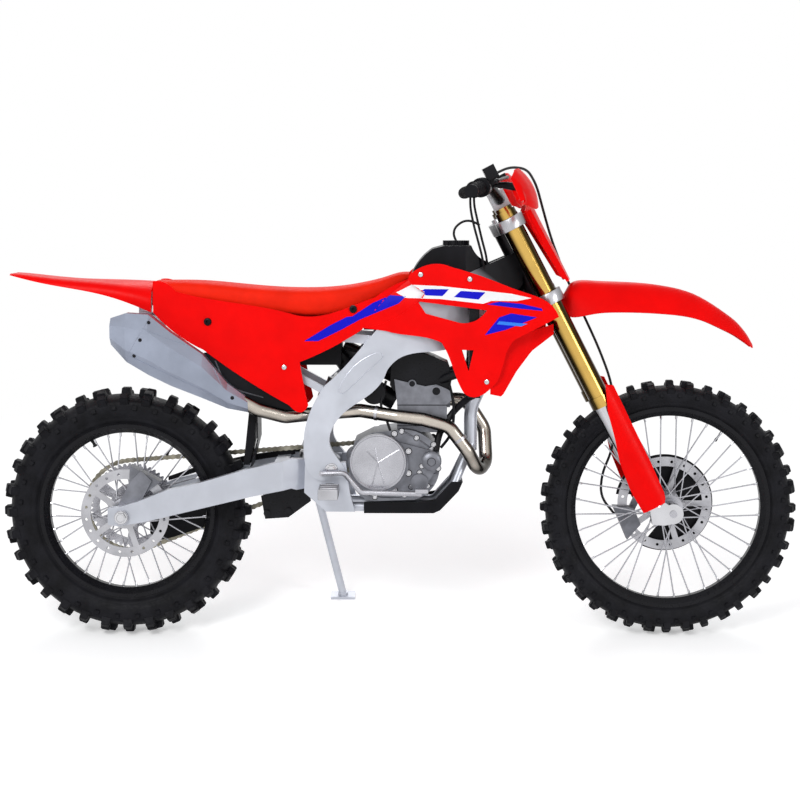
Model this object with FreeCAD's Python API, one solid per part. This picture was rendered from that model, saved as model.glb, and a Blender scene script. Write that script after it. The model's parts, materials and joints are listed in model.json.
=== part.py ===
import FreeCAD, Part
import math
import os

# A motocross bike, leaning on its side stand. Millimetres and degrees.
# It is laid out upright: +X ahead, +Y to the rider's left, +Z up from the ground.
# The last step leans it to the left and puts the middle of its box over the origin.

# Driving sizes
LEAN = 10.0
FRONT_TYRE_RADIUS = 348.5
REAR_TYRE_RADIUS = 338.0
HEAD_X = 331.0
HEAD_Z = 1014.6
RAKE = 27.3
CLAMP_OFFSET = 22.0
AXLE_LEAD = 34.8
PIVOT_X = -175.0
PIVOT_Z = 467.0
SWINGARM_LENGTH = 578.0
TOUCH = 0.3
RUN_CLEARANCE = 0.3
RUN_GAP = 6.0
OVERRUN = 2.0

# Tyres
FRONT_TYRE_WIDTH = 74.0
REAR_TYRE_WIDTH = 102.0
FRONT_KNOB_HEIGHT = 14.0
REAR_KNOB_HEIGHT = 17.0
FRONT_KNOB_LENGTH = 22.0
REAR_KNOB_LENGTH = 27.0
FRONT_KNOB_ROWS = 40
REAR_KNOB_ROWS = 32
KNOB_ROOT = 3.0
FRONT_CENTRE_KNOB = 30.0
REAR_CENTRE_KNOB = 38.0
FRONT_SIDE_KNOB = 22.0
REAR_SIDE_KNOB = 27.0

# Rims
FRONT_SEAT_RADIUS = 269.0
REAR_SEAT_RADIUS = 231.5
FRONT_RIM_WIDTH = 50.0
REAR_RIM_WIDTH = 66.0
RIM_LIP = 8.0
RIM_WALL = 3.0
RIM_WELL = 17.0
RIM_WELL_HALF = 11.0

# Hubs, spokes, axles
FRONT_AXLE_RADIUS = 10.0
REAR_AXLE_RADIUS = 12.5
FRONT_BARREL_RADIUS = 24.0
REAR_BARREL_RADIUS = 29.0
FRONT_FLANGE_RADIUS = 38.0
REAR_FLANGE_RADIUS = 44.0
FLANGE_WALL = 4.0
FRONT_FLANGE_SPREAD = 34.0
REAR_FLANGE_SPREAD = 34.0
SPOKE_RADIUS = 1.9
SPOKES_PER_SIDE = 18
SPOKE_LACE = 42.0
SPACER_RADIUS = 17.0

# Brakes
FRONT_DISC_RADIUS = 130.0
REAR_DISC_RADIUS = 120.0
DISC_BAND = 26.0
DISC_WALL = 4.0
FRONT_DISC_Y = 60.0
REAR_DISC_Y = 62.0
DISC_HOLE_RADIUS = 4.0
DISC_HOLES = 20
DISC_ARMS = 5
DISC_ARM_WIDTH = 16.0
PAD_GAP = 2.5
CALIPER_WIDTH = 46.0
CALIPER_DEPTH = 44.0
DISC_COVER_RADIUS = 135.0
DISC_COVER_WALL = 2.5
DISC_COVER_Y = 74.0

# Chain drive
CHAIN_Y = 74.0
CHAIN_PITCH = 15.875
SPROCKET_TEETH = 50
COUNTER_TEETH = 13
COUNTER_X = -118.0
COUNTER_Z = 481.0
CHAIN_WIDTH = 14.0
CHAIN_HALF_HEIGHT = 7.5
CHAIN_WAIST = 5.0
SPROCKET_WALL = 6.0
SPROCKET_GAP = 0.8
SPROCKET_TOOTH_DEPTH = 7.0

# Fork
FORK_SPREAD = 108.0
FORK_TUBE_RADIUS = 28.0
STANCHION_RADIUS = 24.5
FORK_TUBE_LOW = 345.0
FORK_TUBE_HIGH = 925.0
FORK_CAP_RADIUS = 23.0
FORK_CAP_HEIGHT = 10.0
FORK_SEAL_RADIUS = 31.0
FORK_SEAL_HEIGHT = 30.0
LEG_CASTING_RADIUS = 28.0
LEG_CASTING_LOW = 36.0
LEG_CASTING_HIGH = 110.0
LUG_RADIUS = 27.0
LUG_WIDTH = 34.0
UPPER_CLAMP_LOW = 872.0
LOWER_CLAMP_LOW = 650.0
CLAMP_HEIGHT = 32.0
CLAMP_WALL = 11.0
STEM_RADIUS = 15.0
STEM_NUT_RADIUS = 18.0
STEM_NUT_HEIGHT = 10.0
CLAMP_WEB = 62.0
HEAD_PIPE_RADIUS = 29.0
HEAD_GAP = 0.6

# Handlebar
BAR_U = 25.0
BAR_W = 958.0
BAR_CENTRE_RADIUS = 14.3
BAR_END_RADIUS = 11.1
BAR_FLAT_Y = 75.0
BAR_RISE_Y = 165.0
BAR_RISE_U = 13.0
BAR_RISE_W = 1006.0
BAR_END_Y = 402.0
BAR_END_U = -39.0
BAR_END_W = 1013.0
BAR_BEND = 70.0
RISER_Y = 42.0
RISER_WIDTH = 28.0
RISER_DEPTH = 44.0
RISER_CAP = 22.0
GRIP_LENGTH = 122.0
GRIP_RADIUS = 16.5
GRIP_FLANGE_RADIUS = 24.0
GRIP_FLANGE_WALL = 5.0

# Controls
PERCH_RADIUS = 16.0
PERCH_WIDTH = 24.0
PERCH_Y = 226.0
LEVER_U = 62.0
LEVER_DROP = 6.0
LEVER_TIP_Y = 378.0
LEVER_THICK = 8.0
LEVER_BROAD = 14.0
RESERVOIR_LENGTH = 48.0
RESERVOIR_WIDTH = 32.0
RESERVOIR_HEIGHT = 34.0
THROTTLE_RADIUS = 25.0
THROTTLE_WIDTH = 26.0

# Handguards
GUARD_INNER_Y = 196.0
GUARD_OUTER_Y = 416.0
GUARD_LOW_W = 912.0
GUARD_HIGH_W = 1026.0
GUARD_FRONT_U = 118.0
GUARD_BOW = 34.0
GUARD_WALL = 3.0
GUARD_ARM_WIDTH = 14.0
GUARD_ARM_Y = 189.5

# Number plate
PLATE_LOW_W = 680.0
PLATE_HEIGHT = 230.0
PLATE_FRONT_U = 100.0
PLATE_BOW = 30.0
PLATE_HALF_WIDTH = 112.0
PLATE_WALL = 3.0
PLATE_PAD = 12.0

# Front fender, as stations along its length
FENDER_REAR_X = 384.0
FENDER_LENGTH = 576.0
FENDER_LOW_Z = 790.0
FENDER_HEIGHT = 178.0
FENDER_WALL = 3.5
FENDER_HALF_WIDTH = 74.0
FENDER_BOSS = 16.0
FENDER_BOSS_LENGTH = 36.0

# Fork guards
LEG_GUARD_LOW = 34.0
LEG_GUARD_HIGH = 384.0
LEG_GUARD_WALL = 3.0
LEG_GUARD_GAP = 4.0
LEG_GUARD_PAD = 8.0

# Frame
SPAR_WALL = 26.0
SPAR_HEAD_Y = 46.0
SPAR_MIDDLE_Y = 108.0
SPAR_WIDE_Y = 120.0
SPAR_PIVOT_Y = 114.0
DOWN_TUBE_RADIUS = 18.0
CRADLE_RADIUS = 13.0
CRADLE_Y = 62.0
SPAR_GAP = 2.0
CRADLE_Z = 358.0
TUBE_BEND = 60.0
LIFT_PAD_LENGTH = 120.0
LIFT_PAD_WALL = 6.0
LIFT_PAD_X = 0.0

# Rear subframe
RAIL_HEIGHT = 24.0
RAIL_WIDTH = 16.0
RAIL_Y = 80.0
RAIL_FRONT_X = -70.0
RAIL_FRONT_Z = 812.0
RAIL_REAR_X = -700.0
RAIL_REAR_Z = 868.0
STRUT_FRONT_X = -190.0
STRUT_FRONT_Z = 672.0
STRUT_REAR_X = -520.0

# Swingarm
ARM_WALL = 27.0
ARM_PIVOT_RADIUS = 19.0
ARM_AXLE_Y = 122.0
ARM_ROOT_Y = 86.0
ARM_ROOT_X = -205.0
ARM_WIDE_X = -305.0
ARM_TAIL = 38.0
ARM_BEAM_REAR_X = -330.0
AXLE_NUT_RADIUS = 19.0
AXLE_NUT_WIDTH = 12.0

# Engine
CASE_HALF_WIDTH = 84.0
CASE_X = -125.0
CASE_Z = 376.0
CASE_LENGTH = 240.0
CASE_HEIGHT = 202.0
COVER_X = -50.0
COVER_Z = 480.0
COVER_RADIUS = 80.0
COVER_WALL = 26.0
COVER_RIM = 12.0
PUMP_X = 92.0
PUMP_Z = 488.0
PUMP_RADIUS = 27.0
FILTER_X = 60.0
FILTER_Z = 430.0
FILTER_RADIUS = 24.0
MAGNETO_RADIUS = 62.0
MAGNETO_X = 30.0
MAGNETO_Z = 462.0
CYLINDER_X = 0.0
CYLINDER_LENGTH = 134.0
CYLINDER_HALF_WIDTH = 60.0
CYLINDER_LOW_Z = 560.0
CYLINDER_HIGH_Z = 672.0
HEAD_COVER_X = -20.0
HEAD_COVER_LENGTH = 168.0
HEAD_COVER_HEIGHT = 104.0
HEAD_COVER_HALF_WIDTH = 54.0

# Exhaust
PIPE_RADIUS = 18.5
PIPE_BEND = 42.0
PIPE_SIDE_Y = -83.0
SILENCER_FRONT_X = -396.0
SILENCER_LENGTH = 361.0
SILENCER_LOW_Z = 622.0
SILENCER_HEIGHT = 264.0
SILENCER_INNER_Y = 70.0
SILENCER_WIDTH = 100.0

# Body panels
PANEL_WALL = 3.0
SHROUD_REAR_X = -90.0
SHROUD_LOW_Z = 668.0
SHROUD_LENGTH = 513.0
SHROUD_HEIGHT = 348.0
SHROUD_REAR_Y = 124.0
SHROUD_MIDDLE_Y = 152.0
SHROUD_WIDE_Y = 186.0
SHROUD_TIP_Y = 196.0
SIDE_PANEL_REAR_X = -652.0
SIDE_PANEL_LOW_Z = 612.0
SIDE_PANEL_LENGTH = 688.0
SIDE_PANEL_HEIGHT = 366.0
SIDE_PANEL_REAR_Y = 84.0
SIDE_PANEL_MIDDLE_Y = 112.0
SIDE_PANEL_FRONT_Y = 120.0
HEAT_GUARD_REAR_X = -516.0
HEAT_GUARD_LENGTH = 285.0
HEAT_GUARD_LOW_Z = 613.0
HEAT_GUARD_HEIGHT = 168.0
HEAT_GUARD_Y = 96.0
REAR_FENDER_REAR_X = -1039.0
REAR_FENDER_LENGTH = 430.0
REAR_FENDER_LOW_Z = 880.0
REAR_FENDER_HEIGHT = 107.0
REAR_FENDER_HALF_WIDTH = 92.0

# Seat and tank
SEAT_REAR_X = -650.0
SEAT_LENGTH = 684.0
SEAT_LOW_Z = 868.0
SEAT_HEIGHT = 122.0
SEAT_HALF_WIDTH = 92.0
TANK_REAR_X = -90.0
TANK_LENGTH = 389.0
TANK_LOW_Z = 838.0
TANK_HEIGHT = 224.0
TANK_HALF_WIDTH = 84.0
CAP_X = 158.0
CAP_RADIUS = 36.0
CAP_HEIGHT = 13.0

# Smaller pieces of the body
RADIATOR_X = 204.0
RADIATOR_DEPTH = 34.0
RADIATOR_LOW_Z = 662.0
RADIATOR_HEIGHT = 258.0
RADIATOR_INNER_Y = 84.0
RADIATOR_WIDTH = 62.0
RADIATOR_TANK = 24.0
RADIATOR_LUG = 7.0
AIRBOX_REAR_X = -480.0
AIRBOX_LENGTH = 330.0
AIRBOX_LOW_Z = 742.0
AIRBOX_HEIGHT = 108.0
AIRBOX_HALF_WIDTH = 56.0
SHOCK_TOP_X = -168.0
SHOCK_TOP_Z = 700.0
SHOCK_LOW_X = -268.0
SHOCK_LOW_Z = 392.0
SHOCK_BODY_RADIUS = 22.0
SPRING_RADIUS = 33.0
SPRING_WIRE = 6.0
SPRING_TURNS = 7
SKID_WALL = 3.0
SKID_REAR_X = -90.0
SKID_LENGTH = 262.0
SKID_HEIGHT = 86.0
PEG_X = -180.0
PEG_Z = 416.0
PEG_INNER_Y = 134.0
PEG_LENGTH = 100.0
PEG_DEPTH = 52.0
PEG_HEIGHT = 28.0
PEG_WALL = 3.0
PEG_LUG = 22.0
PEDAL_RADIUS = 7.0
PEDAL_Y = 150.0
PEDAL_PAD = 34.0
PEDAL_PAD_WIDTH = 30.0
SHIFT_Y = 138.0
SHIFT_RADIUS = 6.0
SHIFT_PEG = 32.0
MUD_FLAP_WALL = 3.0
MUD_FLAP_HALF_WIDTH = 60.0

# Side stand
STAND_X = -232.0
STAND_Y = 134.0
STAND_Z = 378.0
STAND_RADIUS = 11.0
STAND_BOSS_RADIUS = 16.0
STAND_BOSS_HALF = 12.0
STAND_FOOT_LENGTH = 70.0
STAND_FOOT_WIDTH = 46.0
STAND_FOOT_WALL = 8.0
STAND_DOWN_SHARES = (0.20, 0.33, -0.92)
STAND_UP_SHARES = (-0.848, 0.03, 0.53)
STAND_EAR_WALL = 6.0

# Places that follow from the sizes above
RAKE_SLOPE = math.tan(math.radians(RAKE))
RAKE_SIN = math.sin(math.radians(RAKE))
RAKE_COS = math.cos(math.radians(RAKE))
LEAN_SLOPE = math.tan(math.radians(LEAN))
OFFSET = CLAMP_OFFSET + AXLE_LEAD
FRONT_AXLE_X = HEAD_X + (HEAD_Z - FRONT_TYRE_RADIUS) * RAKE_SLOPE + OFFSET / RAKE_COS
STEER_X = FRONT_AXLE_X - OFFSET * RAKE_COS
STEER_Z = FRONT_TYRE_RADIUS - OFFSET * RAKE_SIN
REAR_AXLE_X = PIVOT_X - math.sqrt(SWINGARM_LENGTH ** 2 - (PIVOT_Z - REAR_TYRE_RADIUS) ** 2)
SPROCKET_PITCH_RADIUS = CHAIN_PITCH / 2 / math.sin(math.pi / SPROCKET_TEETH)
COUNTER_PITCH_RADIUS = CHAIN_PITCH / 2 / math.sin(math.pi / COUNTER_TEETH)


def vec(x, y, z):
    return FreeCAD.Vector(x, y, z)


Y_AXIS = vec(0, 1, 0)
ORIGIN = vec(0, 0, 0)


def polar(radius, degrees):
    """A place in the side view at an angle from +X towards +Z."""
    angle = math.radians(degrees)
    return radius * math.cos(angle), radius * math.sin(angle)


def polygon(points):
    """A closed wire of straight edges."""
    return Part.makePolygon(points + points[:1])


def side_points(shares, rear_x, low_z, length, height):
    """Points of a side view from shares of a length and a height."""
    return [(rear_x + a * length, low_z + b * height) for a, b in shares]


def plate(points, low_y, high_y):
    """A plate with straight edges whose outline is drawn in the side view."""
    face = Part.Face(polygon([vec(x, low_y, z) for x, z in points]))
    return face.extrude(vec(0, high_y - low_y, 0))


def curve(points):
    """A smooth edge through points."""
    spline = Part.BSplineCurve()
    spline.interpolate(points)
    return spline.toShape()


def run_wire(runs):
    """A closed wire of runs of points. A run of one point is straight, a longer one is a curve."""
    edges = []
    start = runs[-1][-1]
    for run in runs:
        points = [start] + run
        edges.append(Part.makeLine(*points) if len(points) == 2 else curve(points))
        start = run[-1]
    return Part.Wire(edges)


def curved_plate(runs, rear_x, low_z, length, height, low_y, high_y):
    """A plate with curved edges, from runs of shares in the side view."""
    drawn = []
    for run in runs:
        points = side_points(run, rear_x, low_z, length, height)
        drawn.append([vec(x, low_y, z) for x, z in points])
    return Part.Face(run_wire(drawn)).extrude(vec(0, high_y - low_y, 0))


def sheet_wire(plan, wall, z):
    """The closed plan of a curved sheet of even wall, whose outer face runs through the plan."""
    outer = [vec(x, y, z) for x, y in plan]
    inner = [vec(x, y - wall, z) for x, y in reversed(plan)]
    return Part.Wire([curve(outer), Part.makeLine(outer[-1], inner[0]),
                      curve(inner), Part.makeLine(inner[-1], outer[0])])


def sheet(low_plan, high_plan, wall, low_z, high_z):
    """A curved sheet between two plans, one at its foot and one at its top."""
    wires = [sheet_wire(low_plan, wall, low_z), sheet_wire(high_plan, wall, high_z)]
    return Part.makeLoft(wires, True, True)


def round_path(points, reaches):
    """Straight runs joined by arcs that leave each run at the given reach from its corner."""
    edges = []
    start = points[0]
    for i, reach in enumerate(reaches):
        corner = points[i + 1]
        back = (points[i] - corner).normalize()
        ahead = (points[i + 2] - corner).normalize()
        half = back.getAngle(ahead) / 2
        radius = reach * math.tan(half)
        first = corner + back * reach
        last = corner + ahead * reach
        inward = (back + ahead).normalize()
        middle = corner + inward * (radius / math.sin(half) - radius)
        edges.append(Part.makeLine(start, first))
        edges.append(Part.Arc(first, middle, last).toShape())
        start = last
    edges.append(Part.makeLine(start, points[-1]))
    return Part.Wire(edges)


def swept(path, points, radius):
    """A round bar along a path."""
    section = Part.Wire(Part.makeCircle(radius, points[0], points[1] - points[0]))
    return path.makePipeShell([section], True, True)


def tube(points, radius, bend):
    """A round bar through points, with every corner bent to one radius."""
    reaches = []
    for before, corner, after in zip(points, points[1:], points[2:]):
        half = (before - corner).getAngle(after - corner) / 2
        reaches.append(bend / math.tan(half))
    return swept(round_path(points, reaches), points, radius)


def cord(points, radius):
    """A cord through points, with each bend as wide as its shorter run allows."""
    reaches = []
    for before, corner, after in zip(points, points[1:], points[2:]):
        reaches.append(0.45 * min((before - corner).Length, (after - corner).Length))
    return swept(round_path(points, reaches), points, radius)


def rod(start, end, radius):
    """A straight round bar between two points."""
    return Part.makeCylinder(radius, (end - start).Length, start, end - start)


def disc(radius, low_y, high_y, x=0, z=0):
    """A round plate across the bike."""
    return Part.makeCylinder(radius, high_y - low_y, vec(x, low_y, z), Y_AXIS)


def box(low_x, high_x, low_y, high_y, low_z, high_z):
    """A box between limits."""
    corner = vec(low_x, low_y, low_z)
    return Part.makeBox(high_x - low_x, high_y - low_y, high_z - low_z, corner)


def bar(start, end, width, height):
    """A straight square-edged rail whose two end points lie at one distance from the middle."""
    along = (end - start).normalize()
    up = vec(-along.z, 0, along.x) * (height / 2)
    out = vec(0, width / 2, 0)
    ends = [start + up + out, start + up - out, start - up - out, start - up + out]
    return Part.Face(polygon(ends)).extrude(end - start)


def mirrored(shape):
    """The same shape on the other side of the bike."""
    return shape.mirror(ORIGIN, Y_AXIS)


def both_sides(shape):
    """A shape with its mirror image, joined where they meet."""
    return shape.fuse(mirrored(shape)).removeSplitter()


def pair(shape):
    """A shape and its mirror image as two separate solids."""
    return Part.makeCompound([shape, mirrored(shape)])


def steered(shape):
    """Move a shape from the fork's own frame to the bike: X ahead of the steering axis, Z up it."""
    moved = shape.copy()
    turn = FreeCAD.Rotation(Y_AXIS, -RAKE)
    moved.Placement = FreeCAD.Placement(vec(STEER_X, 0, STEER_Z), turn)
    return moved


def at_axle(shape, x, z):
    """Move a shape from a wheel's own centre to its place."""
    moved = shape.copy()
    moved.translate(vec(x, 0, z))
    return moved


# Wheels, drawn round their own centre

def revolved(profile):
    """A ring from points given as a radius and a place across."""
    face = Part.Face(polygon([vec(r, y, 0) for r, y in profile]))
    return face.revolve(ORIGIN, Y_AXIS, 360)


def ring_point(radius, y, along, degrees):
    """A point by its radius, its place across and its distance along the tread."""
    angle = math.radians(degrees)
    x = radius * math.cos(angle) - along * math.sin(angle)
    z = radius * math.sin(angle) + along * math.cos(angle)
    return vec(x, y, z)


def flat_solid(faces):
    """A closed solid from the corner lists of its flat faces."""
    shell = Part.makeShell([Part.Face(polygon(corners)) for corners in faces])
    shell.sewShape()
    return Part.Solid(Part.Shell(shell.Faces))


def carcass(profile, rows):
    """A ring of flat panels, one panel for each row of knobs."""
    step = 360 / rows
    faces = []
    for i in range(rows):
        low = [ring_point(r, y, 0, (i - 0.5) * step) for r, y in profile]
        high = [ring_point(r, y, 0, (i + 0.5) * step) for r, y in profile]
        for j in range(len(profile)):
            faces.append([low[j - 1], low[j], high[j], high[j - 1]])
    return flat_solid(faces)


KNOB_TOP_SHARE = 0.84


def knob(radius, y, lean, across, along, height, degrees):
    """One tread block, narrower at its top, that leans out by an angle."""
    cos = math.cos(math.radians(lean))
    sin = math.sin(math.radians(lean))
    rings = []
    for rise, share in ((-KNOB_ROOT, 1), (height, KNOB_TOP_SHARE)):
        ring = []
        for side, front in ((-1, -1), (1, -1), (1, 1), (-1, 1)):
            out = side * across / 2 * share
            r = radius + rise * cos - out * sin
            place = y + rise * sin + out * cos
            ring.append(ring_point(r, place, front * along / 2 * share, degrees))
        rings.append(ring)
    low, high = rings
    faces = [low, high]
    for i in range(4):
        faces.append([low[i - 1], low[i], high[i], high[i - 1]])
    return flat_solid(faces)


CARCASS_SHARES = ((0.0, 0.40), (0.30, 0.86), (0.58, 1.0), (0.82, 0.86), (1.0, 0.42))
SHOULDER_LEAN = 35.0
MIDDLE_LEAN = 20.0
SIDE_KNOB_SHARE = 0.88
MIDDLE_KNOB_SHARE = 0.42


def tyre(outer, seat, width, rows, knob_height, along, centre, side, rim_width):
    """A knobbly tyre: centre blocks and inner side blocks in turn, shoulder blocks in every row."""
    crown = outer - knob_height
    half = width / 2
    bead_half = rim_width / 2 - RIM_WALL - TOUCH
    bead = (seat + TOUCH) / math.cos(math.pi / rows)
    right = [(bead, bead_half), (bead + RIM_LIP, bead_half)]
    for rise, share in CARCASS_SHARES[1:]:
        right.append((seat + RIM_LIP + rise * (crown - seat - RIM_LIP), half * share))
    profile = right + [(r, -y) for r, y in reversed(right)]
    knobs = []
    shoulder_r = profile[4][0]
    shoulder_y = half * SIDE_KNOB_SHARE
    for i in range(rows):
        turn = i * 360 / rows - 90
        if i % 2 == 0:
            knobs.append(knob(crown, 0, 0, centre, along, knob_height, turn))
        for sign in (-1, 1):
            if i % 2:
                knobs.append(knob(crown - KNOB_ROOT, sign * half * MIDDLE_KNOB_SHARE,
                                  sign * MIDDLE_LEAN, side, along, knob_height, turn))
            knobs.append(knob(shoulder_r, sign * shoulder_y, sign * SHOULDER_LEAN, side, along,
                              knob_height, turn))
    return carcass(profile, rows).multiFuse(knobs)


def front_tyre():
    return tyre(FRONT_TYRE_RADIUS, FRONT_SEAT_RADIUS, FRONT_TYRE_WIDTH, FRONT_KNOB_ROWS,
                FRONT_KNOB_HEIGHT, FRONT_KNOB_LENGTH, FRONT_CENTRE_KNOB, FRONT_SIDE_KNOB,
                FRONT_RIM_WIDTH)


def rear_tyre():
    return tyre(REAR_TYRE_RADIUS, REAR_SEAT_RADIUS, REAR_TYRE_WIDTH, REAR_KNOB_ROWS,
                REAR_KNOB_HEIGHT, REAR_KNOB_LENGTH, REAR_CENTRE_KNOB, REAR_SIDE_KNOB,
                REAR_RIM_WIDTH)


def rim(seat, width):
    """A deep rim with a lip at each side and a well in the middle."""
    half = width / 2
    right = [(seat - RIM_WELL, 0), (seat - RIM_WELL, RIM_WELL_HALF), (seat - RIM_WALL, half),
             (seat + RIM_LIP, half), (seat + RIM_LIP, half - RIM_WALL), (seat, half - RIM_WALL),
             (seat - RIM_WELL + RIM_WALL, RIM_WELL_HALF - RIM_WALL)]
    left = [(r, -y) for r, y in reversed(right[1:])]
    return revolved(right + left)


def hub(barrel, flange, spread, low_y, high_y, bore, seats):
    """A hub with two spoke flanges and the round seats of what is bolted on."""
    body = disc(barrel, low_y, high_y)
    for sign in (-1, 1):
        middle = sign * spread
        body = body.fuse(disc(flange, middle - FLANGE_WALL / 2, middle + FLANGE_WALL / 2))
    for radius, start, end in seats:
        body = body.fuse(disc(radius, start, end))
    return body.cut(disc(bore + RUN_CLEARANCE, low_y - OVERRUN, high_y + OVERRUN))


def spokes(seat, flange, spread):
    """Crossed spokes from the hub's flanges to the rim's well."""
    made = []
    far = seat - RIM_WELL - TOUCH
    near = flange - FLANGE_WALL
    for sign in (-1, 1):
        for i in range(SPOKES_PER_SIDE):
            middle = (i + sign / 4) * 360 / SPOKES_PER_SIDE
            lace = SPOKE_LACE if i % 2 else -SPOKE_LACE
            a, b = polar(near, middle + lace)
            c, d = polar(far, middle)
            y = sign * spread
            start = vec(a, y, b)
            end = vec(c, sign * RIM_WELL_HALF / 2, d)
            made.append(six_sided(start, end, SPOKE_RADIUS))
    return made


def six_sided(start, end, radius):
    """A thin straight bar with six flats."""
    along = (end - start).normalize()
    across = along.cross(Y_AXIS).normalize() * radius
    turn = FreeCAD.Rotation(along, 60)
    corners = [start + across]
    for i in range(5):
        across = turn.multVec(across)
        corners.append(start + across)
    return Part.Face(polygon(corners)).extrude(end - start)


HUB_SIDE = 46.0
FRONT_HUB_RIGHT = -48.0
REAR_HUB_RIGHT = -66.0
DISC_SEAT_RADIUS = 42.0
SPROCKET_SEAT_RADIUS = 56.0


def front_hub():
    left = FRONT_DISC_Y - DISC_WALL / 2
    seats = [(DISC_SEAT_RADIUS, left - FLANGE_WALL, left)]
    body = hub(FRONT_BARREL_RADIUS, FRONT_FLANGE_RADIUS, FRONT_FLANGE_SPREAD, FRONT_HUB_RIGHT,
               left, FRONT_AXLE_RADIUS, seats)
    return body.multiFuse(spokes(FRONT_SEAT_RADIUS, FRONT_FLANGE_RADIUS, FRONT_FLANGE_SPREAD))


def rear_hub():
    left = CHAIN_Y - SPROCKET_WALL / 2
    right = -REAR_DISC_Y + DISC_WALL / 2
    seats = [(SPROCKET_SEAT_RADIUS, left - FLANGE_WALL, left),
             (DISC_SEAT_RADIUS, right, right + FLANGE_WALL)]
    body = hub(REAR_BARREL_RADIUS, REAR_FLANGE_RADIUS, REAR_FLANGE_SPREAD, right, left,
               REAR_AXLE_RADIUS, seats)
    return body.multiFuse(spokes(REAR_SEAT_RADIUS, REAR_FLANGE_RADIUS, REAR_FLANGE_SPREAD))


def brake_disc(radius, low_y, bore):
    """A drilled disc on curved arms."""
    high_y = low_y + DISC_WALL
    ring = disc(radius, low_y, high_y).cut(disc(radius - DISC_BAND, low_y, high_y))
    middle = disc(DISC_SEAT_RADIUS, low_y, high_y)
    arms = []
    for i in range(DISC_ARMS):
        arm = box(0, radius - DISC_BAND / 2, -DISC_ARM_WIDTH / 2, DISC_ARM_WIDTH / 2, 0, DISC_WALL)
        arm.rotate(ORIGIN, vec(1, 0, 0), 90)
        arm.translate(vec(0, high_y, 0))
        arm.rotate(ORIGIN, Y_AXIS, i * 360 / DISC_ARMS)
        arms.append(arm)
    holes = [disc(bore + RUN_CLEARANCE + FLANGE_WALL, low_y, high_y)]
    for i in range(DISC_HOLES):
        x, z = polar(radius - DISC_BAND / 2, (i + 0.5) * 360 / DISC_HOLES)
        holes.append(disc(DISC_HOLE_RADIUS, low_y, high_y, x, z))
    return ring.multiFuse([middle] + arms).cut(Part.makeCompound(holes))


def front_disc():
    return brake_disc(FRONT_DISC_RADIUS, FRONT_DISC_Y - DISC_WALL / 2, FRONT_AXLE_RADIUS)


def rear_disc():
    return brake_disc(REAR_DISC_RADIUS, -REAR_DISC_Y - DISC_WALL / 2, REAR_AXLE_RADIUS)


SPROCKET_SLOTS = 6
SPROCKET_SLOT_SHARES = (0.56, 0.84)


def rear_sprocket():
    """A toothed ring under the chain's rollers, with slots between its arms."""
    low_y = CHAIN_Y - SPROCKET_WALL / 2
    high_y = low_y + SPROCKET_WALL
    tip = SPROCKET_PITCH_RADIUS - CHAIN_HALF_HEIGHT - SPROCKET_GAP
    root = tip - SPROCKET_TOOTH_DEPTH
    points = []
    for i in range(SPROCKET_TEETH):
        middle = i * 360 / SPROCKET_TEETH
        for radius, turn in ((root, -0.42), (tip, -0.14), (tip, 0.14), (root, 0.42)):
            points.append(polar(radius, middle + turn * 360 / SPROCKET_TEETH))
    body = plate(points, low_y, high_y)
    inner = root * SPROCKET_SLOT_SHARES[0]
    outer = root * SPROCKET_SLOT_SHARES[1]
    slots = [disc(REAR_AXLE_RADIUS + FLANGE_WALL, low_y, high_y)]
    for i in range(SPROCKET_SLOTS):
        middle = i * 360 / SPROCKET_SLOTS
        reach = 360 / SPROCKET_SLOTS / 3
        corners = [polar(inner, middle - reach), polar(outer, middle - reach),
                   polar(outer, middle), polar(outer, middle + reach), polar(inner, middle + reach),
                   polar(inner, middle)]
        slots.append(plate(corners, low_y, high_y))
    return body.cut(Part.makeCompound(slots))


# The chain and what it runs round

def chain_line():
    """The chain's closed middle line as places in the side view, one for each half link."""
    reach = math.hypot(COUNTER_X - REAR_AXLE_X, COUNTER_Z - REAR_TYRE_RADIUS)
    slope = math.degrees(math.atan2(COUNTER_Z - REAR_TYRE_RADIUS, COUNTER_X - REAR_AXLE_X))
    swing = math.degrees(math.asin((SPROCKET_PITCH_RADIUS - COUNTER_PITCH_RADIUS) / reach))
    straight = math.sqrt(reach ** 2 - (SPROCKET_PITCH_RADIUS - COUNTER_PITCH_RADIUS) ** 2)
    top = slope + 90 - swing
    low = slope - 90 + swing
    front_arc = math.radians(top - low) * COUNTER_PITCH_RADIUS
    rear_arc = math.radians(360 - top + low) * SPROCKET_PITCH_RADIUS
    whole = 2 * straight + front_arc + rear_arc
    count = 2 * round(whole / CHAIN_PITCH)
    places = []
    for i in range(count):
        s = i * whole / count
        if s < front_arc:
            turn = top - math.degrees(s / COUNTER_PITCH_RADIUS)
            a, b = polar(COUNTER_PITCH_RADIUS, turn)
            places.append((COUNTER_X + a, COUNTER_Z + b, turn))
            continue
        s -= front_arc
        if s < straight:
            a, b = polar(COUNTER_PITCH_RADIUS, low)
            c, d = polar(s, low - 90)
            places.append((COUNTER_X + a + c, COUNTER_Z + b + d, low))
            continue
        s -= straight
        if s < rear_arc:
            turn = low - math.degrees(s / SPROCKET_PITCH_RADIUS)
            a, b = polar(SPROCKET_PITCH_RADIUS, turn)
            places.append((REAR_AXLE_X + a, REAR_TYRE_RADIUS + b, turn))
            continue
        s -= rear_arc
        a, b = polar(SPROCKET_PITCH_RADIUS, top)
        c, d = polar(s, top - 90)
        places.append((REAR_AXLE_X + a + c, REAR_TYRE_RADIUS + b + d, top))
    return places


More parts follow.
